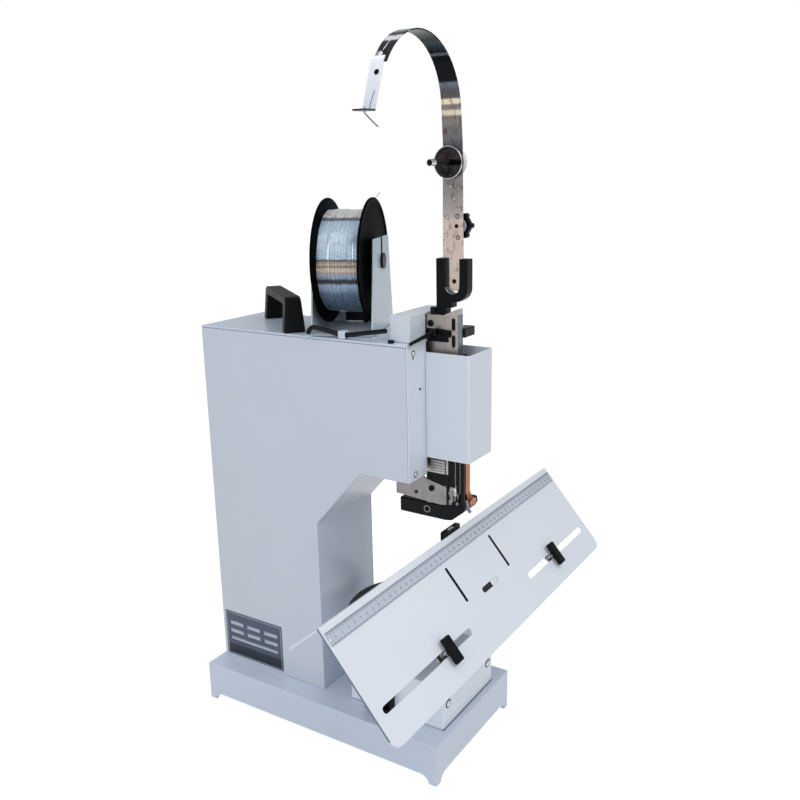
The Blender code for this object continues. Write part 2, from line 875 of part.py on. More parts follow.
def build_inlet():
    inner_x = -pedestal_half_x - seat_gap
    outer_x = inner_x - inlet_depth
    low = base_height + inlet_lift
    high = low + inlet_height
    middle_z = (low + high) / 2
    back_y = inlet_front_y + inlet_length
    case = softened(box((outer_x, inlet_front_y, low), (inner_x, back_y, high)), base_edge_round / 2)
    socket_y = inlet_front_y + inlet_length / 4 + seat_gap
    half = inlet_socket_length / 2
    rise = inlet_socket_height / 2
    socket = box((outer_x - cut_overrun, socket_y - half, middle_z - rise),
                 (outer_x + inlet_socket_depth, socket_y + half, middle_z + rise))
    pivot_y = back_y - inlet_length / 4
    window = box((outer_x - cut_overrun, pivot_y - rocker_length / 2, middle_z - rocker_height / 2),
                 (outer_x + rocker_window_depth, pivot_y + rocker_length / 2, middle_z + rocker_height / 2))
    case = cut(case, socket, window)
    finished(case, "mains_inlet", "black_plastic")

    # The rocker tilts about a line along Y, in the middle of its window.
    pivot = Vector((outer_x + rocker_stand, pivot_y, middle_z))
    reach = rocker_height / 2 - running_gap * 2
    drum = [(-rocker_stand * 2, reach), (-rocker_stand, 0.0), (-rocker_stand * 2, -reach),
            (rocker_stand, -reach * rocker_edge_share), (rocker_stand * rocker_crown_share, 0.0),
            (rocker_stand, reach * rocker_edge_share)]
    outline = [(pivot.x + across, pivot.z + up) for across, up in drum]
    rocker = flat(outline, rocker_length - running_gap * 2, across_y(pivot_y))
    finished(rocker, "power_rocker", "black_plastic", pivot)


def table_place(down, out=0.0):
    """A point of the front plate: distance down the slope from the ridge, and out of its face."""
    return ridge + front_down * down + front_out * out


def table_matrix(out):
    """Outline in (X, distance down the slope), thickness along the plate's face normal."""
    origin = ridge + front_out * out
    matrix = Matrix.Identity(4)
    for row in range(3):
        matrix[row][0] = (1.0, 0.0, 0.0)[row]
        matrix[row][1] = -front_down[row]
        matrix[row][2] = front_out[row]
        matrix[row][3] = origin[row]
    return matrix


def build_table():
    half = table_length / 2
    plate = rounded([(-half, 0.0), (half, 0.0), (half, -front_plate_length), (-half, -front_plate_length)],
                    [0.0, 0.0, plate_corner_radius, plate_corner_radius])
    long_middle = (long_slot_inner_x + long_slot_outer_x) / 2
    long_half = (long_slot_outer_x - long_slot_inner_x) / 2
    short_middle = (short_slot_near + short_slot_far) / 2
    short_half = (short_slot_far - short_slot_near) / 2
    holes = [slot_outline((0.0, -centre_slot_down), centre_slot_half_x, centre_slot_width)]
    for side in (-1, 1):
        holes.append(slot_outline((side * long_middle, -long_slot_down), long_half, long_slot_width))
        holes.append(slot_outline((side * short_slot_x, -short_middle), short_half, short_slot_width, math.pi / 2))
    front = flat(plate, plate_thickness, table_matrix(-plate_thickness / 2), holes)
    finished(front, "table_front_plate", "table_paint")

    start = plate_thickness + seat_gap
    rear_matrix = Matrix.Identity(4)
    origin = ridge - rear_out * plate_thickness / 2
    for row in range(3):
        rear_matrix[row][0] = (1.0, 0.0, 0.0)[row]
        rear_matrix[row][1] = -rear_down[row]
        rear_matrix[row][2] = -rear_out[row]
        rear_matrix[row][3] = origin[row]
    notch = ridge_notch_half_x
    deep = ridge_notch_length + start
    rear = [(-half, -start), (-notch, -start), (-notch, -deep), (notch, -deep), (notch, -start), (half, -start),
            (half, -rear_plate_length), (-half, -rear_plate_length)]
    finished(flat(rear, plate_thickness, rear_matrix), "table_rear_plate", "table_paint")

    half_ruler = ruler_length / 2
    middle = -ruler_down
    strip = [(-half_ruler, middle + ruler_width / 2), (half_ruler, middle + ruler_width / 2),
             (half_ruler, middle - ruler_width / 2), (-half_ruler, middle - ruler_width / 2)]
    ruler = flat(strip, ruler_thickness, table_matrix(seat_gap + ruler_thickness / 2))
    finished(ruler, "edge_ruler", "ruler_steel")


def build_bracket():
    """The carrier under the plates: two ribs, a cross plate and the boss over the lift screw."""
    under = plate_thickness + seat_gap
    low = bracket_plate_low_z
    high = low + bracket_plate_thickness
    apex = ridge - front_out * under - rear_out * under
    middle = (low + high) / 2
    front_run = (apex.z - middle) / math.tan(front_slope)
    rear_foot = ridge + rear_down * rear_plate_length - rear_out * under
    rib = [(apex.y, apex.z), (apex.y - front_run, middle), (lift_y, middle), (rear_foot.y, rear_foot.z)]
    ribs = [flat(rib, bracket_rib_thickness, across_x(side * bracket_rib_x)) for side in (-1, 1)]
    reach = bracket_rib_x + bracket_rib_thickness
    plate = box((-reach, bracket_plate_front_y, low), (reach, bracket_plate_back_y, high))
    boss = rod((lift_x, lift_y, low - bracket_boss_height / 2), (lift_x, lift_y, high + bracket_boss_height),
               bracket_boss_radius, round_steps)
    carrier = joined(plate, boss, *ribs)
    bore = rod((lift_x, lift_y, low - bracket_boss_height), (lift_x, lift_y, lift_screw_top_z + seat_gap),
               lift_screw_radius + seat_gap, round_steps)
    finished(cut(carrier, bore), "table_bracket", "casing_paint")

    screw = rod((lift_x, lift_y, lift_screw_low_z), (lift_x, lift_y, lift_screw_top_z), lift_screw_radius, round_steps)
    finished(screw, "lift_screw", "bright_steel")


def build_clincher():
    back = clincher_front_y + clincher_depth
    low = ridge_z - (back - ridge_y) * math.tan(rear_slope) + clincher_foot_gap
    block = box((-clincher_half_x, clincher_front_y + plate_thickness, low),
                (clincher_half_x, back, clincher_top_z))
    leg_low = bracket_plate_low_z + bracket_plate_thickness + seat_gap
    leg = box((-clincher_leg_half_x, clincher_front_y + plate_thickness + clincher_leg_inset, leg_low),
              (clincher_leg_half_x, back - plate_thickness, clincher_top_z - plate_thickness))
    block = joined(block, leg)
    centre_y = (clincher_front_y + plate_thickness + back) / 2
    well = box((-plunger_half_x - running_gap, centre_y - plunger_half_y - running_gap,
                clincher_top_z - plunger_height - running_gap),
               (plunger_half_x + running_gap, centre_y + plunger_half_y + running_gap, clincher_top_z + cut_overrun))
    finished(cut(block, well), "clincher_block", "black_steel")
    plunger = box((-plunger_half_x, centre_y - plunger_half_y, clincher_top_z - plunger_height),
                  (plunger_half_x, centre_y + plunger_half_y, clincher_top_z - plunger_drop))
    finished(plunger, "clincher_plunger", "bright_steel", (0.0, centre_y, clincher_top_z))


def build_stop(name, x):
    """A black stop block, on a stem that runs through the long slot to a nut under the plate."""
    half = stop_width / 2
    low = long_slot_down - stop_length / 2
    high = long_slot_down + stop_length / 2
    form = rounded([(x - half, -low), (x + half, -low), (x + half, -high), (x - half, -high)], stop_edge_round)
    middle = stop_stand + stop_height / 2
    block = softened(flat(form, stop_height, table_matrix(middle)), stop_edge_round / 2, 1)
    foot = table_place(long_slot_down, -plate_thickness - seat_gap - stop_nut_height)
    seat = table_place(long_slot_down, -plate_thickness - seat_gap)
    shoulder = table_place(long_slot_down, seat_gap)
    top = table_place(long_slot_down, stop_stand + stop_height / 4)
    side = Vector((x, 0.0, 0.0))
    stem = rod(foot + side, top + side, stop_stem_radius)
    nut = rod(foot + side, seat + side, stop_nut_radius, 6)
    washer = rod(shoulder + side, shoulder + side + front_out * stop_stand, stop_washer_radius)
    finished(joined(block, stem, nut, washer), name, "black_plastic", table_place(long_slot_down) + side)


def build_head():
    # Side frame of the head, with a recessed band for the black clamp bar
    frame = box((head_left_x, head_frame_front_y, head_frame_low_z),
                (head_frame_right_x, head_frame_back_y, head_frame_top_z))
    band = box((head_left_x - cut_overrun, head_frame_front_y - cut_overrun, head_band_low_z),
               (head_left_x + head_band_depth, head_frame_back_y - sheet_steel, head_band_high_z))
    relief = box((head_left_x - cut_overrun, head_frame_front_y - cut_overrun, feed_block_low_z - seat_gap),
                 (head_frame_right_x + cut_overrun, feed_block_back_y + seat_gap, feed_block_high_z + seat_gap))
    frame = cut(frame, band, relief)
    # Cross block behind the slide, the arm back to the works frame and the post down to the shoe
    cross = box((head_frame_right_x - sheet_steel, cross_block_front_y + running_gap, cross_block_low_z),
                (cross_block_right_x, cross_block_back_y, cross_block_high_z))
    arm = box((head_left_x, head_frame_back_y - sheet_steel, head_mount_low_z),
              (head_mount_right_x, frame_front_y - seat_gap, head_mount_high_z))
    post = box((head_left_x, feed_block_back_y + seat_gap, shoe_profile[-1][1] + seat_gap),
               (cross_block_right_x - sheet_steel, head_frame_back_y, head_frame_low_z + sheet_steel))
    finished(joined(frame, cross, arm, post), "head_side_frame", "bright_steel")

    bar = box((head_left_x - sheet_steel, head_frame_front_y, head_band_low_z + seat_gap),
              (head_left_x + head_band_depth - seat_gap, head_frame_back_y - sheet_steel - seat_gap,
               head_band_high_z - seat_gap))
    # Its thin end reaches forward over the face of the guide bar.
    nose = box((head_left_x - sheet_steel, clamp_bar_front_y, head_band_low_z + seat_gap),
               (head_left_x - seat_gap, head_frame_front_y + sheet_steel, head_band_high_z - seat_gap))
    finished(joined(bar, nose), "head_clamp_bar", "black_steel")

    guide_back = head_frame_front_y - seat_gap
    face = [(guide_bar_front_y, guide_bar_low_z), (guide_back, guide_bar_low_z),
            (guide_back, guide_bar_back_top_z), (guide_bar_front_y, guide_bar_top_z)]
    guide = flat(face, head_frame_right_x - head_left_x, across_x((head_left_x + head_frame_right_x) / 2))
    slots = []
    for slot_z in (guide_slot_upper_z, guide_slot_lower_z):
        outline = slot_outline((guide_slot_y, slot_z), guide_slot_length / 2, guide_slot_width, math.pi / 2)
        slots.append(flat(outline, guide_slot_depth * 2, across_x(head_left_x)))
    finished(cut(guide, *slots), "slide_guide_bar", "bright_steel")

    grooves = []
    block = box((head_left_x - sheet_steel, feed_block_front_y, feed_block_low_z),
                (feed_block_right_x, feed_block_back_y, feed_block_high_z))
    pitch = (feed_block_high_z - feed_block_low_z) / (feed_groove_count + 1)
    for index in range(feed_groove_count):
        z = feed_block_low_z + pitch * (index + 1)
        grooves.append(box((head_left_x - sheet_steel - cut_overrun, feed_block_front_y - cut_overrun,
                            z - feed_groove_width / 2),
                           (head_left_x - sheet_steel + feed_groove_depth, feed_block_back_y + cut_overrun,
                            z + feed_groove_width / 2)))
    finished(cut(block, *grooves), "wire_feed_block", "bright_steel")

    plate = flat([tuple(point) for point in head_bracket_heights], bracket_right_x - bracket_left_x,
                 across_x((bracket_left_x + bracket_right_x) / 2))
    finished(plate, "head_bracket_plate", "bright_steel")

    shoe = flat([tuple(point) for point in shoe_profile], shoe_right_x - shoe_left_x,
                across_x((shoe_left_x + shoe_right_x) / 2))
    channel = box((-driver_half_x - driver_slot_gap, driver_front_y - driver_slot_gap, clincher_top_z),
                  (driver_half_x + driver_slot_gap, driver_back_y + driver_slot_gap, guide_bar_low_z))
    shoe = cut(softened(shoe, shoe_edge_round, 1), channel)
    finished(shoe, "stitch_shoe", "black_steel")

    strip = box((-copper_half_x, copper_front_y, copper_low_z),
                (copper_half_x, copper_front_y + copper_thickness, copper_top_z))
    pad = rod((0.0, copper_front_y - copper_pad_thickness + copper_thickness, copper_pad_z),
              (0.0, copper_front_y + copper_thickness, copper_pad_z), copper_pad_radius, round_steps)
    lug = box((copper_lug_left_x, copper_front_y, copper_top_z - copper_lug_height),
              (copper_half_x, guide_bar_front_y - seat_gap, copper_top_z))
    finished(joined(strip, pad, lug), "copper_wire_guide", "copper")


def build_driver():
    slide = box((-driver_half_x, driver_front_y, driver_low_z), (driver_half_x, driver_back_y, driver_top_z))
    pin_z = shaft_z + crank_throw
    yoke = box((yoke_left_x, driver_back_y - cut_overrun, pin_z - yoke_half_height),
               (yoke_right_x, yoke_back_y, pin_z + yoke_half_height))
    slide = joined(slide, yoke)
    reach = crank_throw + crank_pin_radius + running_gap
    height = crank_pin_radius + running_gap
    slot = box((shaft_x - reach, yoke_back_y - crank_pin_radius * 2, pin_z - height),
               (shaft_x + reach, yoke_back_y + cut_overrun, pin_z + height))
    finished(cut(slide, slot), "driver_slide", "black_steel", (0.0, driver_front_y, driver_low_z))


def build_feed_parts():
    block = box((adjuster_left_x, adjuster_front_y, adjuster_low_z),
                (adjuster_right_x, adjuster_back_y, adjuster_high_z))
    finished(softened(block, lid_edge_round, 1), "feed_adjuster_block", "black_steel")

    # The lever swings about an upright pin beside the clamp bar.
    pivot_x = head_left_x - sheet_steel - seat_gap - feed_lever_boss_radius
    pivot = Vector((pivot_x, feed_lever_pivot_y, feed_lever_pivot_z))
    rise = Vector((0.0, 0.0, feed_lever_boss_length / 2))
    boss = rod(pivot - rise, pivot + rise, feed_lever_boss_radius)
    arm = rod(pivot, (feed_lever_tip_x, feed_lever_tip_y, feed_lever_tip_z), feed_lever_radius,
              end_radius=feed_lever_radius * feed_lever_taper_share)
    finished(joined(boss, arm), "feed_release_lever", "black_steel", pivot)


def build_neck():
    thickness = fork_right_x - fork_left_x
    middle_x = (fork_left_x + fork_right_x) / 2
    stem_low = head_frame_top_z + seat_gap
    step_low = guide_bar_top_z + seat_gap
    outline = [(fork_back_y, stem_low), (fork_back_y, fork_top_z), (fork_slot_back_y, fork_top_z),
               (fork_slot_back_y, fork_slot_bottom_z), (fork_slot_front_y, fork_slot_bottom_z),
               (fork_slot_front_y, fork_top_z), (fork_front_y, fork_top_z), (fork_front_y, fork_knee_z),
               (fork_stem_front_y, fork_knee_z - fork_round), (fork_stem_front_y, step_low),
               (head_frame_front_y, step_low), (head_frame_front_y, stem_low)]
    slot_round = (fork_slot_back_y - fork_slot_front_y) / 2
    radii = [0.0, 0.0, 0.0, slot_round, slot_round, 0.0, 0.0, fork_round / 2, 0.0, 0.0, 0.0, 0.0]
    fork = flat(rounded(outline, radii), thickness, across_x(middle_x))
    finished(fork, "neck_fork", "black_steel")

    # The strip is one open surface, bent over towards -X, with a thickness.
    stations = []
    tongue = neck_tongue_width
    low = neck_tongue_low_z
    tongue_y = neck_tongue_centre_y
    for rise_share, width_share in neck_tip_shares:
        stations.append((0.0, low + tongue * rise_share, tongue * width_share, tongue_y))
    stations.append((0.0, neck_shoulder_z - seat_gap / 3, tongue, tongue_y))
    stations.append((0.0, neck_shoulder_z, neck_width, neck_centre_y))
    # Above the felt the strip leans over by a few degrees, then bends round.
    lean_angle = math.radians(neck_lean_deg)
    end = math.radians(neck_arc_end_deg)
    arc_low_z = neck_bend_z + neck_bend_radius * math.sin(lean_angle)
    arc_start = (neck_lean_z - arc_low_z) * math.tan(lean_angle)
    arc_centre = arc_start - neck_bend_radius * math.cos(lean_angle)
    risen = (neck_lean_z - neck_shoulder_z) / (arc_low_z - neck_shoulder_z)
    stations.append((0.0, neck_lean_z, neck_width + (neck_bend_width - neck_width) * risen, neck_centre_y))
    for step in range(neck_steps + 1):
        share = step / neck_steps
        angle = lean_angle + (end - lean_angle) * share
        width = neck_bend_width + (neck_end_width - neck_bend_width) * share
        stations.append((arc_centre + neck_bend_radius * math.cos(angle),
                         neck_bend_z + neck_bend_radius * math.sin(angle), width, neck_centre_y))
    form = bmesh.new()
    rows = []
    for along, height, width, middle_y in stations:
        x = neck_centre_x + along
        rows.append([form.verts.new((x, middle_y - width / 2, height)),
                     form.verts.new((x, middle_y + width / 2, height))])
    for first, second in zip(rows, rows[1:]):
        form.faces.new((first[0], first[1], second[1], second[0]))
    mesh = bpy.data.meshes.new("strip")
    form.to_mesh(mesh)
    form.free()
    strip = scratch(mesh)
    wall = strip.modifiers.new("thickness", "SOLIDIFY")
    wall.thickness = neck_thickness
    wall.offset = 0.0
    wall.use_even_offset = True
    bpy.context.view_layer.update()
    strip = baked(strip)
    near = neck_centre_x - felt_radius
    far = neck_centre_x + felt_radius
    bolt_hole = rod((near, felt_y, felt_z), (far, felt_y, felt_z), tension_bolt_radius + seat_gap)
    star_hole = rod((near, star_y, star_z), (far, star_y, star_z), star_stem_radius + seat_gap)
    finished(cut(strip, bolt_hole, star_hole), "swan_neck_strip", "chrome")

    # The eyelet bracket lies on the outside of the strip's end, then runs down to its foot.
    lean = math.radians(eyelet_lean_deg)
    down = Vector((-math.cos(lean), 0.0, -math.sin(lean)))
    reach = neck_bend_radius + (neck_thickness + eyelet_leg_thickness) / 2 + seat_gap
    lap = eyelet_lap / neck_bend_radius
    route = []
    for step in range(4):
        angle = end - lap * (1 - step / 3)
        route.append(Vector((neck_centre_x + arc_centre + reach * math.cos(angle), eyelet_y,
                             neck_bend_z + reach * math.sin(angle))))
    route.append(route[-1] + down * eyelet_leg_length)
    route.append(route[-1] - Vector((eyelet_foot_length, 0.0, 0.0)))
    return route


def build_eyelet(route):
    half = eyelet_leg_width / 2
    side = Vector((0.0, half, 0.0))
    form = bmesh.new()
    rows = [[form.verts.new(point - side), form.verts.new(point + side)] for point in route]
    for first, second in zip(rows, rows[1:]):
        form.faces.new((first[0], first[1], second[1], second[0]))
    mesh = bpy.data.meshes.new("eyelet")
    form.to_mesh(mesh)
    form.free()
    item = scratch(mesh)
    wall = item.modifiers.new("thickness", "SOLIDIFY")
    wall.thickness = eyelet_leg_thickness
    wall.offset = 0.0
    wall.use_even_offset = True
    bpy.context.view_layer.update()
    item = baked(item)
    centre = route[-2] + (route[-1] - route[-2]) * eyelet_hole_share
    hole = rod(centre - Vector((0, 0, felt_radius)), centre + Vector((0, 0, felt_radius)), eyelet_hole_radius)
    finished(cut(item, hole), "wire_eyelet_bracket", "chrome")
    return centre


def build_tension():
    """Felt disc, pressure plate, bolt and nut that brake the wire on the swan neck."""
    face = neck_centre_x - neck_thickness / 2 - seat_gap
    centre = Vector((face, felt_y, felt_z))
    left = Vector((-1.0, 0.0, 0.0))
    turn = Matrix.Rotation(-math.pi / 2, 4, "Y")
    bore = tension_bolt_radius + seat_gap

    def washer(start, radius, thickness):
        place = Matrix.Translation(centre + left * start) @ turn
        return ring([(radius, thickness), (radius, 0.0), (bore, 0.0), (bore, thickness)], place, round_steps)

    finished(washer(0.0, felt_radius, felt_thickness), "tension_felt", "felt")
    plate_start = felt_thickness + seat_gap
    finished(washer(plate_start, pressure_plate_radius, pressure_plate_thickness), "tension_pressure_plate", "chrome")
    head_start = neck_thickness + seat_gap * 2
    bolt_head = rod(centre - left * head_start, centre - left * (head_start + felt_thickness),
                    tension_nut_radius, 6)
    stem = rod(centre - left * (head_start + felt_thickness / 2), centre + left * tension_bolt_reach,
               tension_bolt_radius)
    finished(joined(bolt_head, stem), "tension_bolt", "black_steel")
    nut_start = tension_bolt_reach - tension_nut_length
    place = Matrix.Translation(centre + left * nut_start) @ turn
    nut = ring([(tension_nut_radius, tension_nut_length), (tension_nut_radius, 0.0),
                (bore, 0.0), (bore, tension_nut_length)], place, small_steps)
    finished(nut, "tension_nut", "bright_steel", centre + left * nut_start)


def build_star_knob():
    face = neck_centre_x + neck_thickness / 2
    centre = Vector((face, star_y, star_z))
    right = Vector((1.0, 0.0, 0.0))
    begin = centre + right * star_stand
    stop = centre + right * (star_stand + star_thickness)
    disc = rod(begin, stop, star_radius - star_lobe_radius, round_steps)
    lobes = []
    for index in range(star_lobe_count):
        angle = 2 * math.pi * index / star_lobe_count
        shift = Vector((0.0, math.cos(angle), math.sin(angle))) * (star_radius - star_lobe_radius)
        lobes.append(rod(begin + shift, stop + shift, star_lobe_radius, 8))
    stem = rod(centre - right * (neck_thickness * 2), stop, star_stem_radius)
    finished(joined(disc, stem, *lobes), "star_knob", "black_plastic", centre)


def spool_matrix():
    """Local X across the lid, local Y along the axle towards the front, local Z up."""
    turn = Matrix.Rotation(math.radians(spool_turn_deg), 4, "Z") @ Matrix.Rotation(math.pi, 4, "Z")
    return Matrix.Translation((spool_x, spool_y, spool_z)) @ turn


def build_spool():
    place = spool_matrix()
    axis = place @ Matrix.Rotation(-math.pi / 2, 4, "X")
    half = spool_width / 2
    lip = flange_radius - flange_lip_width
    inner = half - flange_thickness
    hub = spool_hub_radius
    bore = spool_bore_radius
    profile = [(flange_radius, half), (flange_radius, inner), (hub, inner), (hub, -inner),
               (flange_radius, -inner), (flange_radius, -half), (lip, -half), (lip, -half + flange_lip),
               (hub, -half + flange_lip), (hub, -half), (bore, -half), (bore, half), (hub, half),
               (hub, half - flange_lip), (lip, half - flange_lip), (lip, half)]
    finished(ring(profile, axis, 36), "spool_reel", "black_plastic", place.translation)

    core_half = inner - seat_gap
    core_bore = hub + seat_gap
    core = ring([(winding_core_radius, core_half), (winding_core_radius, -core_half),
                 (core_bore, -core_half), (core_bore, core_half)], axis, 36)
    finished(core, "winding_core", "wire", place.translation)

    # One unbroken wire winds across the core from flange to flange.
    path_radius = (winding_core_radius + seat_gap + wire_tube_radius) / math.cos(math.pi / wire_turn_points)
    usable = 2 * (core_half - wire_tube_radius - seat_gap)
    pitch = usable / (wire_turn_count)
    points = []
    total = wire_turn_count * wire_turn_points
    for step in range(total + 1):
        angle = 2 * math.pi * step / wire_turn_points
        height = -usable / 2 + pitch * step / wire_turn_points
        points.append(Vector((path_radius * math.cos(angle), path_radius * math.sin(angle), height)))
    first = points[0] - (points[1] - points[0]).normalized() * wire_tube_radius * 2
    last = points[-1] + (points[-1] - points[-2]).normalized() * wire_tube_radius * 2
    route = [axis @ point for point in [first, *points, last]]
    gap = min((points[index] - points[index + wire_turn_points]).length
              for index in range(total - wire_turn_points)) - 2 * wire_tube_radius
    print("least gap between turns of wire: %.2f mm" % (gap * 1000))
    turns = tube(route, wire_tube_radius, resolution=1)
    finished(turns, "wire_turns", "wire", place.translation)


def build_stand():
    place = spool_matrix()
    low = lid_top_z + seat_gap
    rise = spool_z - low
    top = stand_top_z - spool_z
    shoulder = stand_shoulder_z - spool_z
    near = stand_half_gap
    far = stand_half_gap + stand_sheet
    channel = [(-far, -rise), (far, -rise), (far, top), (near, top), (near, -rise + stand_sheet),
               (-near, -rise + stand_sheet), (-near, top), (-far, top)]
    stand = flat(channel, 3 * stand_foot_half, place @ across_x(0.0))
    # Both uprights taper upwards and are open above the axle through a keyhole.
    seat_z = axle_radius - keyhole_radius + seat_gap
    half_slot = keyhole_slot_width / 2
    start = math.asin(half_slot / keyhole_radius)
    keyhole = [(half_slot, top + cut_overrun)]
    for step in range(small_steps + 1):
        angle = start + (2 * math.pi - 2 * start) * step / small_steps
        keyhole.append((keyhole_radius * math.sin(angle), seat_z + keyhole_radius * math.cos(angle)))
    keyhole.append((-half_slot, top + cut_overrun))
    low_edge = -rise - cut_overrun
    sides = [*keyhole, (-stand_top_half, top + cut_overrun), (-stand_foot_half, shoulder),
             (-stand_foot_half, low_edge), (stand_foot_half, low_edge), (stand_foot_half, shoulder),
             (stand_top_half, top + cut_overrun)]
    stand = combine(stand, [flat(sides, 4 * far, place @ across_y(0.0))], "INTERSECT")
    screw_low = place @ Vector((0.0, 0.0, -rise + stand_sheet / 2))
    screw_top = place @ Vector((0.0, 0.0, -rise + stand_sheet + stand_screw_height))
    stand = joined(stand, rod(screw_low, screw_top, stand_screw_radius))
    finished(stand, "spool_stand", "casing_paint")

    end = stand_half_gap + stand_sheet + axle_head_length
    start = place @ Vector((0.0, -end, 0.0))
    stop = place @ Vector((0.0, end, 0.0))
    bar = rod(start, stop, axle_radius, round_steps)
    heads = []
    for side in (-1, 1):
        near = place @ Vector((0.0, side * (stand_half_gap + stand_sheet + seat_gap), 0.0))
        far = place @ Vector((0.0, side * end, 0.0))
        heads.append(rod(near, far, axle_head_radius, round_steps))
    finished(joined(bar, *heads), "spool_axle", "black_steel", place.translation)

    bar_low = -rise + stand_sheet + brake_bar_lift
    reach = stand_half_gap - seat_gap
    brake = box((-brake_bar_u - brake_bar_side / 2, -reach, bar_low),
                (-brake_bar_u + brake_bar_side / 2, reach, bar_low + brake_bar_side))
    finished(moved(brake, place), "stand_cross_bar", "black_plastic")


def build_wire_ends(eyelet_centre):
    """A short free end of wire threaded through the eyelet."""
    lean = Vector(wire_end_direction_shares).normalized()
    start = eyelet_centre + Vector((0.0, 0.0, eyelet_leg_thickness))
    points = [start + Vector((0.0, 0.0, wire_end_radius * 2)), start, eyelet_centre - Vector((0.0, 0.0, wire_end_drop))]
    for step in range(1, 6):
        share = step / 5
        curl = Vector((share * share * wire_end_length * wire_end_curl_share, 0.0, 0.0))
        points.append(points[2] + lean * wire_end_length * share + curl)
    finished(tube(points, wire_end_radius), "wire_end_at_eyelet", "wire")


def build_handle():
    turn = Matrix.Translation((handle_x, handle_y, lid_top_z + seat_gap)) @ Matrix.Rotation(
        math.radians(handle_turn_deg), 4, "Z")
    lean = handle_leg_thickness * handle_lean_share
    span = handle_span
    leg = handle_leg_thickness
    top = handle_height
    outer = [(-leg / 2, 0.0), (-leg / 2 + lean, top), (span + leg / 2 - lean, top), (span + leg / 2, 0.0)]
    inner = [(span - leg / 2, 0.0), (span - leg / 2 - lean, top - handle_top_thickness),
             (leg / 2 + lean, top - handle_top_thickness), (leg / 2, 0.0)]
    corner = handle_round
    outline = rounded(outer + inner, [0.0, corner, corner, 0.0, 0.0, corner / 2, corner / 2, 0.0])
    body = flat(outline, handle_foot_width, across_y(0.0))
    # The sides draw in towards the top.
    draw_share = 1.0 - handle_top_width / handle_foot_width
    for vertex in body.data.vertices:
        vertex.co.y *= 1.0 - draw_share * vertex.co.z / top
    finished(moved(softened(body, lid_edge_round, 1), turn), "carry_handle", "black_plastic")


def build_tools():
    low = lid_top_z + seat_gap
    block = box((holder_x - holder_width / 2, holder_y - holder_depth / 2, low),
                (holder_x + holder_width / 2, holder_y + holder_depth / 2, low + holder_height))
    block = softened(block, lid_edge_round, 1)
    keys = (("hex_key_long", 1, Vector(key_long_tip), Vector(key_long_hook)),
            ("hex_key_short", -1, Vector(key_short_tip), None))
    bores = []
    for name, side, tip, hook in keys:
        mouth = Vector((holder_x, holder_y + side * holder_depth / 2, key_z))
        along = (tip - mouth).normalized()
        start = mouth - along * key_bore_depth
        bores.append(rod(start - along * key_bore_gap, mouth + along * key_bore_depth, key_radius + key_bore_gap))
        points = [start, tip]
        if hook is not None:
            down = (hook - tip).normalized()
            bend = key_radius * key_bend_share
            inset = bend * key_bend_inset_share
            points = [start, tip - along * bend, tip - along * inset + down * inset,
                      tip + down * bend, hook]
        finished(tube(points, key_radius, resolution=1), name, "black_steel", mouth)
    finished(cut(block, *bores), "key_holder", "casing_paint")


